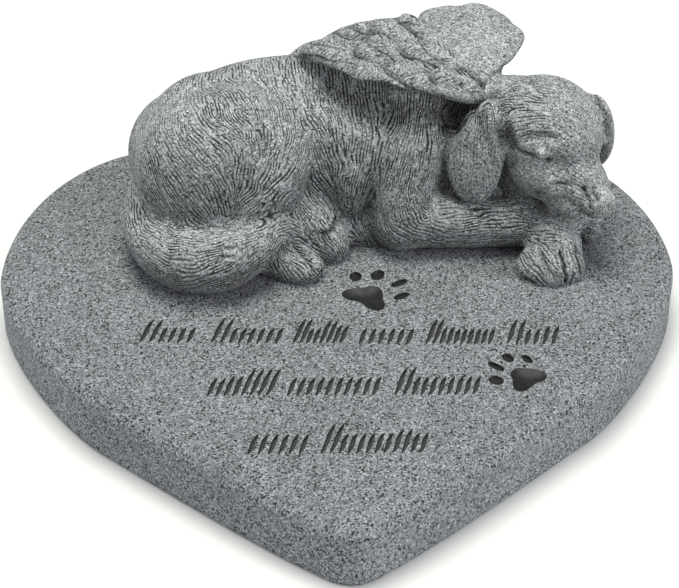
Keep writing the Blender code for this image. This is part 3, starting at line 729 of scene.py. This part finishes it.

# %% [markdown]
# ## Wings
# Each wing is an arched sheet, spread between two edges that run from root to tip, with a top side and
# an underside. The feathers are low relief on the top side. They are laid down like tiles, one after
# another: each covers what lies under it, and a fine dark line of painted shadow lies where its edge ends.
# %% Wing edges and feather places
# The edges are (x, y) places from root to tip. Each feather: root, tip, width
NEAR_WING = {
    "crown": (17.5, 4, 52.0), "rise": 0.26, "sag": 0.0075,
    "first_edge": [
        (45, 0), (38.2, -3.4), (35.2, -3.8), (31, -2.9), (24.3, -2.3), (20, -1.8), (17.1, -0.6), (14.3, 1.1),
        (10.6, 1.9), (7.2, 2.7), (4.9, 3.9), (4.1, 5.5), (0.1, 8.9), (-5.6, 14.0), (-10.8, 18.0), (-12, 19.2),
    ],
    "second_edge": [
        (46, 8), (38.4, 10), (35.6, 14.5), (32.9, 18.1), (28.7, 22.4), (24.8, 26.3), (22.5, 27.6),
        (20.8, 27.8), (20, 26.2), (15.5, 25.6), (8.1, 25.1), (2.1, 23.8), (-2.8, 22.2), (-4.2, 20.6),
        (-8.4, 20.6), (-12, 19.4),
    ],
    "half_thickness": (2.6, 1.0),
    "feathers": [
        ((18.6, -0.2), (-12.3, 18.6), 9.0), ((18.9, 5.9), (-8.7, 19.9), 7.5),
        ((20.6, 10.6), (-4.2, 20.9), 7.0), ((22.3, 15.4), (0.0, 23.1), 7.0),
        ((25.5, 18.4), (5.7, 24.4), 7.0), ((28.6, 20.9), (11.6, 24.8), 7.0),
        ((22, -2.5), (6.3, 6.6), 8.0), ((22.5, 5.7), (6.8, 14.8), 8.0),
        ((23.4, 9.5), (11.3, 17.4), 8.5), ((25.9, 16.1), (13.0, 22.4), 7.0),
        ((36.6, 12.5), (20.3, 26.4), 7.0), ((35.8, 9.5), (19.1, 14.8), 9.0),
        ((34.2, 0.9), (16.0, 5.0), 9.5), ((41.1, 7.2), (26.9, 15.0), 7.0),
        ((43.7, 1.9), (27.6, 5.0), 9.0), ((43.3, -3.0), (27.1, -1.6), 6.0),
    ],
    "relief": 1.0,
}
FAR_WING = {
    "crown": (38, 27, 52.6), "rise": 0.12, "sag": 0.006,
    "first_edge": [
        (27, 14), (25, 22), (25, 30), (26, 35.4), (29.2, 37.7), (33, 38.0), (37.4, 37.8), (40.5, 38.7),
        (43.6, 39.3), (45.9, 38.5), (49.4, 36.5),
    ],
    "second_edge": [
        (43, 2), (47.8, 7.6), (48.5, 10.1), (50.8, 11.6), (52.5, 14), (54.7, 18.3), (56.6, 22.6),
        (57.7, 26.3), (57.2, 29.2), (54.6, 27.8), (54.7, 31.0), (54.2, 32.1), (52.2, 34.1), (49.4, 36.5),
    ],
    "half_thickness": (2.6, 1.4),
    "feathers": [
        ((34, 14), (27.5, 38), 9.0), ((38, 14), (36, 39), 9.0), ((42, 11), (45, 40), 9.0),
        ((45, 10), (52, 36), 8.5), ((46, 9), (57, 30), 8.0), ((46, 7), (57.5, 23), 7.5),
        ((36, 10), (32, 28), 9.0), ((40, 9), (41.5, 29), 9.0), ((44, 7), (50, 25), 9.0),
        ((38, 5), (38.5, 18), 8.0), ((44, 3), (47, 16), 8.0),
    ],
    "relief": 0.4,
}
print(len(NEAR_WING["feathers"]), "feathers on the near wing,", len(FAR_WING["feathers"]), "on the far one")

# %% Feather relief
WING_WOBBLE = 1.1
FEATHER_TILT = 2.0
FEATHER_CAMBER = 0.35
FEATHER_BOW = 0.25
FEATHER_EDGE = 0.7
EDGE_SHADOW_WIDTH = 0.42
SHAFT_HEIGHT = 0.18
SHAFT_WIDTH = 0.4
BARB_DEPTH = 0.32
BARB_PITCH = 1.35
BARB_LEAN = 1.0
SCRATCH_WIDTH = 0.42
SCRATCH_LENGTH = 2.2
# How far apart the noise is read for one feather and for the next
FEATHER_STEP = 7.3


def wing_height(wing, x, y):
    """Height of the sheet over the slab: crown + rise times y - sag times x squared, from the crown."""
    crown_x, crown_y, crown_h = wing["crown"]
    return crown_h + wing["rise"] * (y - crown_y) - wing["sag"] * (x - crown_x) ** 2


def edge_line(stations, count):
    """So many places, evenly spaced, on the smooth path through an edge's stations."""
    path = smooth_path(stations, 6)
    way = np.concatenate([[0], np.cumsum(np.linalg.norm(np.diff(path, axis=0), axis=1))])
    return np.stack([np.interp(np.linspace(0, way[-1], count), way, path[:, axis]) for axis in (0, 1)], -1)


def eased(value):
    """From 0 to 1 with level ends: s^2 (3 - 2s), with s the value kept between 0 and 1."""
    s = np.clip(value, 0, 1)
    return s * s * (3 - 2 * s)


def feather_relief(wing, x, y):
    """Height and painted shade of the feathers over the sheet. For each feather, ahead runs from 0 at the
    root to 1 at the tip, beside from -1 to 1 across it, and reach is 1 on its outline, whose end is an
    ellipse. It rises from root to tip, falls away from its shaft, and has barbs cut in at a slant. The
    barbs get painted shade, and a painted shadow line lies just outside its outline."""
    places = np.stack([x, y, np.zeros_like(x)], -1).reshape(-1, 3)
    bent_x, bent_y = [
        flat + WING_WOBBLE * lattice_noise(places + 40 * axis, 5.0).reshape(x.shape)
        for axis, flat in enumerate((x, y))
    ]
    firm = np.clip(0.7 + 0.8 * lattice_noise(places, 3.5), 0, 1).reshape(x.shape)
    height, darkness = np.zeros_like(x), np.zeros_like(x)
    for number, (root, tip, width) in enumerate(wing["feathers"]):
        root, tip = np.array(root, dtype=float), np.array(tip, dtype=float)
        length = np.linalg.norm(tip - root)
        heading = (tip - root) / length
        along = (bent_x - root[0]) * heading[0] + (bent_y - root[1]) * heading[1]
        ahead = along / length
        across = (bent_y - root[1]) * heading[0] - (bent_x - root[0]) * heading[1]
        beside = across / (width / 2) - FEATHER_BOW * (2 * ahead - 1) ** 2
        reach = np.hypot(beside, np.clip(ahead - 0.6, 0, None) / 0.4)
        inside = (1 - reach) * width / 2
        over = eased(inside / FEATHER_EDGE) * (ahead > 0)
        from_shaft = np.abs(beside) * width / 2
        slant = along - BARB_LEAN * from_shaft
        own_noise = np.full_like(x, FEATHER_STEP * number)
        scratch_places = np.stack([slant / SCRATCH_WIDTH, from_shaft / SCRATCH_LENGTH, own_noise], -1)
        scratch = lattice_noise(scratch_places.reshape(-1, 3), 1.0).reshape(x.shape)
        wave = 0.5 + 0.5 * np.sin(2 * np.pi * slant / BARB_PITCH + 2 * scratch)
        barbs = firm * wave ** 2 * eased(from_shaft - 0.2) + 0.6 * eased(1.6 * scratch)
        shaft = np.exp(-(from_shaft / SHAFT_WIDTH) ** 2)
        own = FEATHER_TILT * (ahead - 0.5) - FEATHER_CAMBER * beside ** 2
        own = own + SHAFT_HEIGHT * shaft - BARB_DEPTH * barbs
        height = height + (own - height) * over
        # Painted shadow: a dark line just outside the feather's edge, stronger on one side, as a shadow falls
        facing = np.clip(0.6 - 0.5 * beside * heading[0], 0, 1) * (0.5 + 0.5 * firm)
        painted_edge_shadow = facing * np.exp(-((inside + 0.1) / EDGE_SHADOW_WIDTH) ** 2) * (ahead > 0.1)
        darkness = np.maximum(darkness * (1 - over) + 0.8 * barbs * over, painted_edge_shadow)
    return wing["relief"] * height, (0.3 + 0.7 * wing["relief"]) * darkness


# %% Wing pieces
WING_ROWS = 250
WING_COLUMNS = 120
WING_UNDER_COLUMNS = 24


def wing_piece(name, wing):
    """A whole wing. Each row is a ring: over the top side from the first edge to the second, then back
    along the underside. The sheet is plump in the middle, (1 - (2t - 1)^6)^0.5 across, and it ends
    round at the tip."""
    first, second = edge_line(wing["first_edge"], WING_ROWS), edge_line(wing["second_edge"], WING_ROWS)
    t = np.concatenate([np.linspace(0, 1, WING_COLUMNS), np.linspace(1, 0, WING_UNDER_COLUMNS)[1:-1]])
    above = np.where(np.arange(len(t)) < WING_COLUMNS, 1.0, -1.0)
    flat = first[:, None] * (1 - t[:, None]) + second[:, None] * t[:, None]
    x, y = flat[..., 0], flat[..., 1]
    root_to_tip = np.linspace(0, 1, WING_ROWS)[:, None]
    plump = np.sqrt(1 - np.abs(2 * t - 1) ** 6) * np.sqrt(1 - root_to_tip ** 16)
    root_half, tip_half = wing["half_thickness"]
    half = tip_half + (root_half - tip_half) * (1 - root_to_tip) ** 1.5
    relief, darkness = feather_relief(wing, x, y)
    h = wing_height(wing, x, y) + above * half * plump + relief * (above > 0) * plump
    h = h + 0.25 * lattice_noise(np.stack([x, y, 20 + 0 * x], -1).reshape(-1, 3), 3.0).reshape(x.shape)
    rings = in_world(np.stack([x, y, h], -1))
    places, faces = closed_skin(rings)
    piece = new_object(name, places, faces)
    # The groove attribute carries the feathers' painted shade and painted shadow lines to the material
    groove = piece.data.attributes.new("groove", "FLOAT", "POINT")
    inner = (darkness * (above > 0))[1:-1].ravel()
    groove.data.foreach_set("value", np.concatenate([inner, [0, 0]]).astype(np.float32))
    piece.data.shade_smooth()
    corners = places[faces[0]]
    share = np.cross(corners[:, 2] - corners[:, 0], corners[:, 3] - corners[:, 1])
    volume = (share * corners.mean(axis=1)).sum() / 6
    triangles = 2 * len(faces[0]) + len(faces[1])
    print(name, "has", triangles, "triangles and holds", round(volume * 1e9), "cubic mm")
    return piece


near_wing = wing_piece("near_wing", NEAR_WING)
far_wing = wing_piece("far_wing", FAR_WING)

# %% [markdown]
# ## The heart-shaped slab
# The slab's outline is a heart drawn with six bezier knots, mirrored. The slab is that outline carried
# round a profile: out along the flat underside, over a small rounding, up the wall, over a soft
# shoulder, and in across the top to the middle. A rubber mould leaves the wall slightly uneven.
# %% Heart outline
HEART_KNOTS = [
    ((0.000, -1.000), (-0.045, 0.000), (0.045, 0.000)),
    ((0.110, -0.940), (-0.035, -0.027), (0.140, 0.108)),
    ((0.680, -0.410), (-0.180, -0.175), (0.110, 0.107)),
    ((1.000, 0.280), (0.000, -0.210), (0.000, 0.360)),
    ((0.500, 1.000), (0.300, 0.000), (-0.210, 0.000)),
    ((0.000, 0.840), (0.060, 0.000), (-0.060, 0.000)),
]
OUTLINE_STEPS = 40


def heart_outline():
    """The heart as a closed line: between knots a and b it is (1-t)^3 a + 3t(1-t)^2 (a + its handle)
    + 3t^2(1-t) (b + its handle) + t^3 b. The left half mirrors the right."""
    mirrored = [
        ((-x, y), (-after[0], after[1]), (-before[0], before[1]))
        for (x, y), before, after in reversed(HEART_KNOTS[1:-1])
    ]
    knots = np.array(HEART_KNOTS + mirrored) * (HEART_WIDTH / 2, HEART_DEPTH / 2)
    t = np.linspace(0, 1, OUTLINE_STEPS, endpoint=False)[:, None]
    runs = []
    for this, following in zip(knots, np.roll(knots, -1, axis=0)):
        start, end = this[0], following[0]
        out, back = start + this[2], end + following[1]
        near_start = (1 - t) ** 3 * start + 3 * t * (1 - t) ** 2 * out
        runs.append(near_start + 3 * t ** 2 * (1 - t) * back + t ** 3 * end)
    return np.concatenate(runs)


# %% Slab
TOP_ROUNDING = 0.0035
FOOT_ROUNDING = 0.0010
WALL_UNEVENNESS = 0.00022
ROUNDING_ROWS = 9
WALL_ROWS = 12
FACE_RINGS = 26


def slab_rings():
    """Rings of the slab: at each row of the profile the outline is moved in by that row's amount along
    its own normal, and across the faces it shrinks towards the middle."""
    outline = heart_outline()
    ahead = np.roll(outline, -1, axis=0) - np.roll(outline, 1, axis=0)
    outward = np.stack([ahead[:, 1], -ahead[:, 0]], -1)
    outward /= np.linalg.norm(outward, axis=1, keepdims=True)
    quarter = np.linspace(0, np.pi / 2, ROUNDING_ROWS)
    foot = np.stack([FOOT_ROUNDING * (1 - np.sin(quarter)), FOOT_ROUNDING * (1 - np.cos(quarter))], -1)
    wall_heights = np.linspace(FOOT_ROUNDING, SLAB_THICKNESS - TOP_ROUNDING, WALL_ROWS)[1:-1]
    wall = np.stack([np.zeros_like(wall_heights), wall_heights], -1)
    shoulder = np.stack([
        TOP_ROUNDING * (1 - np.cos(quarter)),
        SLAB_THICKNESS - TOP_ROUNDING * (1 - np.sin(quarter)),
    ], -1)
    profile = np.concatenate([foot, wall, shoulder])
    rings = [
        np.concatenate([outline - inward * outward, np.full((len(outline), 1), z)], axis=1)
        for inward, z in profile
    ]
    middle = outline.mean(axis=0) * (0, 1)
    shares = np.linspace(0, 1, FACE_RINGS)[:-1, None, None]

    def face(ring):
        flat = ring[:, :2]
        inner = middle + (flat - middle) * shares
        return np.concatenate([inner, np.full((*inner.shape[:2], 1), ring[0, 2])], axis=-1)

    return np.concatenate([face(rings[0])[::6], np.stack(rings), face(rings[-1])[::-1]])


slab_places, slab_faces = closed_skin(slab_rings())
dents = lattice_noise(slab_places, 0.011) + 0.5 * lattice_noise(slab_places + 0.3, 0.0045)
height_share = np.clip(slab_places[:, 2] / SLAB_THICKNESS, 0, 1)
spread = slab_places[:, :2] / np.linalg.norm(slab_places[:, :2] + 1e-9, axis=1, keepdims=True)
wall_share = 4 * height_share * (1 - height_share)
slab_places[:, :2] -= spread * (WALL_UNEVENNESS * (0.5 + 0.5 * np.tanh(dents)) * wall_share)[:, None]
slab = new_object("slab", slab_places, slab_faces)
print("slab has", sum(len(group) for group in slab_faces), "faces before the marks are cut")

# %% [markdown]
# ## Marks cut into the top
# The real stone has three slanting rows of pen strokes and two paw prints, sunk less than a millimetre
# and painted. Each mark is a tapered plug pushed into the top and taken away by a Boolean. The plug's
# faces wear the paint, and a Boolean leaves them in the hole, so the hole is painted.
# %% Places of the marks
# Each row: its baseline, the height of a mark, and its words. Each word: where it starts and ends, and
# the height of each mark in it as a share. Each paw print: middle, reaches of its pad, and its toes,
# each with a place, two half sizes and a direction in degrees.
INSCRIPTION = [
    {
        "baseline": ((-58.6, -10.0), (60.6, -15.0)), "height": 0.0072,
        "words": [
            (-58.6, -42.5, (1.5, 1, 1)), (-38.3, -17.6, (1.6, 1, 1, 1)),
            (-14.8, 0.2, (1.6, 1, 1.5, 1.2)), (3.6, 19.7, (1, 1, 1)),
            (22.8, 42.3, (1.6, 1.1, 1, 1, 1)), (45.4, 60.6, (1.6, 1, 1.2)),
        ],
    },
    {
        "baseline": ((-39.0, -34.0), (36.4, -35.8)), "height": 0.0081,
        "words": [
            (-39.0, -20.4, (1, 1.1, 1.5, 1.5)), (-17.1, 8.9, (1, 1, 1, 1, 1)),
            (12.5, 36.4, (1.5, 1, 1, 1, 1)),
        ],
    },
    {
        "baseline": ((-28.0, -58.0), (20.3, -58.9)), "height": 0.0083,
        "words": [(-28.0, -11.6, (1, 1, 1)), (-8.4, 20.3, (1.5, 1, 1, 1, 1.2, 1))],
    },
]
PAW_PRINTS = [
    {
        "middle": (7.8, 8.8),
        "pad": (4.75, 5.44, 5.83, 4.77, 4.94, 6.9, 6.69, 3.78, 3.34, 4.95, 7.4, 5.9),
        "toes": [
            ((-2.8, 9.9), (2.3, 1.8), 87), ((3.8, 10.4), (2.6, 1.9), 63),
            ((9.9, 6.3), (2.9, 1.3), 31), ((10.2, 0.1), (2.6, 1.35), 29),
        ],
    },
    {
        "middle": (50.5, -29.2),
        "pad": (5.59, 5.56, 4.59, 4.36, 4.96, 4.83, 4.08, 4.74, 6.12, 4.69, 3.32, 3.79),
        "toes": [
            ((-4.3, 9.0), (2.1, 1.5), 119), ((1.0, 8.3), (2.1, 1.2), 121),
            ((-8.0, 5.4), (2.8, 1.2), 139), ((-8.5, -0.6), (2.2, 1.9), 146),
        ],
    },
]
print(sum(len(heights) for row in INSCRIPTION for _, _, heights in row["words"]), "marks in the rows")

# %% Plugs for the marks
CARVING_DEPTH = 0.0008
STROKE_WIDTH = 0.0014
STROKE_SLANT = math.radians(70.0)
STROKE_POINTS = 13
STROKE_BOW = 0.12
PAIR_SHIFTS = (0.2, 0.7)


def plug(outline):
    """A closed plug from a flat outline: full size above the slab, and shrunk to 0.75 at the bottom of
    the mark, with both ends closed at their middles."""
    middle = outline.mean(axis=0)
    rows = []
    for share, z in ((0.0, -1.0), (0.75, -1.0), (1.0, 0.0), (1.06, 1.0), (0.0, 1.0)):
        flat = middle + (outline - middle) * share
        level = np.full((len(flat), 1), SLAB_THICKNESS + z * CARVING_DEPTH)
        rows.append(np.concatenate([flat, level], axis=1))
    return closed_skin(np.stack(rows))


def pen_stroke(foot, length, width):
    """Outline of a slanted stroke: half the width times sin(pi s)^0.6 on each side of its line, which
    bows a little to one side, as a pen's does."""
    s = np.concatenate([np.linspace(0, 1, STROKE_POINTS), np.linspace(1, 0, STROKE_POINTS)[1:-1]])
    side = np.concatenate([np.ones(STROKE_POINTS), -np.ones(STROKE_POINTS - 2)])
    bow = STROKE_BOW * width * np.sin(2 * np.pi * s)
    reach = side * width / 2 * np.sin(np.pi * s) ** 0.6 + bow
    pen = np.array([math.cos(STROKE_SLANT), math.sin(STROKE_SLANT)])
    across = np.array([pen[1], -pen[0]])
    return np.array(foot) + s[:, None] * length * pen + reach[:, None] * across


def inscription_plugs():
    """Plugs for all rows: two strokes side by side for each mark of a real row."""
    plugs = []
    for row in INSCRIPTION:
        (left_x, left_y), (right_x, right_y) = row["baseline"]
        slope = (right_y - left_y) / (right_x - left_x)
        for start, end, heights in row["words"]:
            pitch = (end - start) / len(heights)
            for place, height_share in enumerate(heights):
                for shift in PAIR_SHIFTS:
                    x = start + (place + shift) * pitch
                    foot = (x * HEART_WIDTH / 200, (left_y + slope * (x - left_x)) * HEART_DEPTH / 180)
                    length = height_share * row["height"] / math.sin(STROKE_SLANT)
                    plugs.append(plug(pen_stroke(foot, length, STROKE_WIDTH)))
    return plugs


def paw_plugs():
    """Plugs for the paw prints. A pad is drawn through twelve reaches, 30 degrees apart, by the waves
    that they add up to; a toe is an oval. Places are shares of the heart's width and depth."""
    unit = np.array([HEART_WIDTH / 200, HEART_DEPTH / 180])
    angle = np.linspace(0, 2 * np.pi, 60, endpoint=False)
    circle = np.stack([np.cos(angle), np.sin(angle)], -1)
    plugs = []
    for print_mark in PAW_PRINTS:
        middle = np.array(print_mark["middle"])
        waves = np.fft.rfft(print_mark["pad"]) / 12
        waves[1:] *= 2
        waves[-1] /= 2
        reach = (waves * np.exp(1j * np.arange(7) * angle[:, None])).real.sum(axis=1)
        plugs.append(plug((middle + reach[:, None] * circle) * unit))
        for offset, (half_length, half_width), lean in print_mark["toes"]:
            pointing = np.array([math.cos(math.radians(lean)), math.sin(math.radians(lean))])
            across = np.array([-pointing[1], pointing[0]])
            oval = circle[:, :1] * half_length * pointing + circle[:, 1:] * half_width * across
            plugs.append(plug((middle + offset + oval) * unit))
    return plugs


# %% Cutting the marks
STROKE_SLOT, PAW_SLOT = 1, 2


def carved(target, plugs, slot):
    """Takes plugs out of the target; the faces they leave get the slot's material."""
    cutter = new_object("cutter", *gathered(plugs))
    for material in target.data.materials:
        cutter.data.materials.append(material)
    slots = np.full(len(cutter.data.polygons), slot, dtype=np.int32)
    cutter.data.polygons.foreach_set("material_index", slots)
    cut = target.modifiers.new("marks", "BOOLEAN")
    cut.operation = "DIFFERENCE"
    cut.object = cutter
    name = target.name
    mesh = finished_mesh(target)
    mesh.name = name
    bpy.data.objects.remove(cutter)
    made = bpy.data.objects.new(name, mesh)
    bpy.context.scene.collection.objects.link(made)
    return made


# %% [markdown]
# ## Stone and paint
# Cast stone is grit of many greys, about half a millimetre across, with a few dark and a few pale
# grains. Cells of a Voronoi pattern give each grain its own grey, a finer noise roughens them, and a
# slow noise makes the batch uneven. Deep marks get painted shade, so they are darker, and what faces up
# is paler, as painted light from above.
# %% Node helpers


def add_node(tree, kind, settings=(), **inputs):
    """A node with some settings and some inputs; an input is a value, or another node's output."""
    made = tree.nodes.new(kind)
    for name, value in dict(settings).items():
        setattr(made, name, value)
    for name, value in inputs.items():
        wanted = int(name[1:]) if name[1:].isdigit() else name.replace("_", " ")
        socket = made.inputs[wanted]
        if isinstance(value, bpy.types.NodeSocket):
            tree.links.new(value, socket)
        else:
            socket.default_value = value
    return made


def arithmetic(tree, operation, first, second):
    """One sum, product or power of two values."""
    return add_node(tree, "ShaderNodeMath", {"operation": operation}, _0=first, _1=second).outputs[0]


def spread_over(tree, value, from_low, from_high, to_low, to_high):
    """A value moved from one range to another, and kept inside it."""
    ranged = add_node(
        tree, "ShaderNodeMapRange", (), Value=value, From_Min=from_low, From_Max=from_high,
        To_Min=to_low, To_Max=to_high,
    )
    return ranged.outputs[0]


def noise(tree, place, scale, detail):
    """Noise from 0 to 1, with so many waves to the metre and so many finer layers."""
    return add_node(tree, "ShaderNodeTexNoise", (), Vector=place, Scale=scale, Detail=detail).outputs["Fac"]


# %% Stone
# The scales are counts to the metre, and the heights are in metres. The dark and the pale grains are
# those whose random value lies below and above these limits, and the three greys say how much they and
# the dust change the brightness at a contrast of 1. The shares of brightness are painted light and
# shade: for a crest and for the deepest groove, and for faces that look down and faces that look up.
GRAIN_SCALE = 2500.0
DUST_SCALE = 2600.0
BATCH_SCALE = 45.0
LUMP_HEIGHT = 0.00011
STROKE_HEIGHT = 0.00035
DARK_LIMITS = (0.16, 0.26)
PALE_LIMITS = (0.76, 0.88)
DARK_GREY, PALE_GREY, DUST_GREY = 0.75, 0.8, 0.25
STROKE_SHARPNESS = 2.4
CREST_LIGHT_SHARE, GROOVE_SHADE_SHARE = 1.25, 0.08
DOWN_SHADE_SHARE, UP_LIGHT_SHARE = 0.7, 1.36


def stone_material(name, colour, contrast, worked):
    """Grit: grain grey x slow unevenness. Worked stone also has fur strokes, which lie where the count
    in the stroke map is a whole number, with painted shade in every groove and a painted highlight on
    each crest, and painted light where it faces up."""
    material = bpy.data.materials.new(name)
    material.use_nodes = True
    tree = material.node_tree
    shader = tree.nodes["Principled BSDF"]
    place = add_node(tree, "ShaderNodeTexCoord").outputs["Object"]
    grains = add_node(tree, "ShaderNodeTexVoronoi", (), Vector=place, Scale=GRAIN_SCALE)
    grain_value = add_node(tree, "ShaderNodeSeparateColor", (), Color=grains.outputs["Color"]).outputs[0]
    dust = noise(tree, place, DUST_SCALE, 2.0)
    batch = noise(tree, place, BATCH_SCALE, 3.0)
    dark_grains = spread_over(tree, grain_value, *DARK_LIMITS, 1 - DARK_GREY * contrast, 1)
    pale_grains = spread_over(tree, grain_value, *PALE_LIMITS, 1, 1 + PALE_GREY * contrast)
    grain_grey = arithmetic(tree, "MULTIPLY", dark_grains, pale_grains)
    speckle = spread_over(tree, dust, 0.3, 0.7, 1 - DUST_GREY * contrast, 1 + DUST_GREY * contrast)
    brightness = arithmetic(tree, "MULTIPLY", grain_grey, speckle)
    brightness = arithmetic(tree, "MULTIPLY", brightness, spread_over(tree, batch, 0.3, 0.7, 0.92, 1.08))
    lumps = arithmetic(tree, "ADD", arithmetic(tree, "MULTIPLY", grains.outputs["Distance"], 0.6), dust)
    surface = arithmetic(tree, "MULTIPLY", lumps, LUMP_HEIGHT)
    if worked:
        strokes_here = add_node(tree, "ShaderNodeTexCoord").outputs["UV"]
        strokes_here = add_node(tree, "ShaderNodeSeparateXYZ", (), Vector=strokes_here).outputs
        wave = arithmetic(tree, "COSINE", arithmetic(tree, "MULTIPLY", strokes_here[0], 2 * math.pi), 0.0)
        wave = arithmetic(tree, "POWER", spread_over(tree, wave, -1, 1, 0, 1), STROKE_SHARPNESS)
        stroke = arithmetic(tree, "MULTIPLY", wave, strokes_here[1])
        # Painted shade in fur grooves, cuts and feather lines, and a painted highlight on the crests
        groove_value = add_node(tree, "ShaderNodeAttribute", {"attribute_name": "groove"}).outputs["Fac"]
        depth = arithmetic(tree, "ADD", stroke, groove_value)
        painted_shading = spread_over(tree, depth, 0, 1, CREST_LIGHT_SHARE, GROOVE_SHADE_SHARE)
        brightness = arithmetic(tree, "MULTIPLY", brightness, painted_shading)
        # Painted light from above: faces that look up are paler, faces that look down darker
        normal = add_node(tree, "ShaderNodeNewGeometry").outputs["Normal"]
        up = add_node(tree, "ShaderNodeSeparateXYZ", (), Vector=normal).outputs["Z"]
        painted_light_from_above = spread_over(tree, up, -0.2, 1, DOWN_SHADE_SHARE, UP_LIGHT_SHARE)
        brightness = arithmetic(tree, "MULTIPLY", brightness, painted_light_from_above)
        stroke_height = arithmetic(tree, "MULTIPLY", stroke, STROKE_HEIGHT)
        surface = arithmetic(tree, "SUBTRACT", surface, stroke_height)
    tint = add_node(tree, "ShaderNodeVectorMath", {"operation": "SCALE"}, _0=colour, Scale=brightness)
    tree.links.new(tint.outputs[0], shader.inputs["Base Color"])
    shader.inputs["Roughness"].default_value = 0.88
    shader.inputs["Specular IOR Level"].default_value = 0.3
    bump = add_node(tree, "ShaderNodeBump", (), Strength=0.8, Distance=1.0, Height=surface)
    tree.links.new(bump.outputs["Normal"], shader.inputs["Normal"])
    return material


# %% Paint
PAINT_DUST_SCALE = 1400.0
PAINT_BUMP = 0.00015


def paint_material(name, colour, roughness, unevenness):
    """Paint: one colour with a little noise in it, and a surface that still shows the grit below."""
    material = bpy.data.materials.new(name)
    material.use_nodes = True
    tree = material.node_tree
    shader = tree.nodes["Principled BSDF"]
    place = add_node(tree, "ShaderNodeTexCoord").outputs["Object"]
    dust = noise(tree, place, PAINT_DUST_SCALE, 2.0)
    level = spread_over(tree, dust, 0.35, 0.7, 1 - unevenness, 1 + unevenness)
    tint = add_node(tree, "ShaderNodeVectorMath", {"operation": "SCALE"}, _0=colour, Scale=level)
    tree.links.new(tint.outputs[0], shader.inputs["Base Color"])
    shader.inputs["Roughness"].default_value = roughness
    shader.inputs["Specular IOR Level"].default_value = 0.25
    bump = add_node(tree, "ShaderNodeBump", (), Strength=0.35, Distance=PAINT_BUMP, Height=dust)
    tree.links.new(bump.outputs["Normal"], shader.inputs["Normal"])
    return material


# %% Marks cut, stone and paint put on
SLAB_GREY = (0.194, 0.204, 0.220)
FIGURE_GREY = (0.208, 0.217, 0.224)
STROKE_GREY = (0.055, 0.056, 0.061)
PAW_BLACK = (0.016, 0.016, 0.019)
FLOOR_WHITE = (0.88, 0.88, 0.88, 1)
FLOOR_ROUGHNESS = 0.9

slab_stone = stone_material("slab_stone", SLAB_GREY, contrast=1.2, worked=False)
figure_stone = stone_material("figure_stone", FIGURE_GREY, contrast=0.95, worked=True)
stroke_paint = paint_material("stroke_paint", STROKE_GREY, roughness=0.7, unevenness=0.4)
paw_paint = paint_material("paw_paint", PAW_BLACK, roughness=0.45, unevenness=0.3)

for material in (slab_stone, stroke_paint, paw_paint):
    slab.data.materials.append(material)
slab = carved(slab, inscription_plugs(), STROKE_SLOT)
slab = carved(slab, paw_plugs(), PAW_SLOT)
slab.data.shade_smooth()
slab.data.set_sharp_from_angle(angle=math.radians(40))
for piece in (*puppy, near_wing, far_wing):
    piece.data.materials.append(figure_stone)
print("slab has", len(slab.data.polygons), "faces with its marks")

floor_material = bpy.data.materials.new("floor_paper")
floor_material.use_nodes = True
floor_shader = floor_material.node_tree.nodes["Principled BSDF"]
floor_shader.inputs["Base Color"].default_value = FLOOR_WHITE
floor_shader.inputs["Roughness"].default_value = FLOOR_ROUGHNESS
floor.data.materials.append(floor_material)

# %% [markdown]
# ## Putting the pieces on the CAD body
# Every piece rides on the one body of the CAD model, and the CAD model's own mesh is hidden.
# %% Ride and replace
for piece in (slab, *puppy, near_wing, far_wing):
    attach(piece, "root")
    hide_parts("memorial_stone")
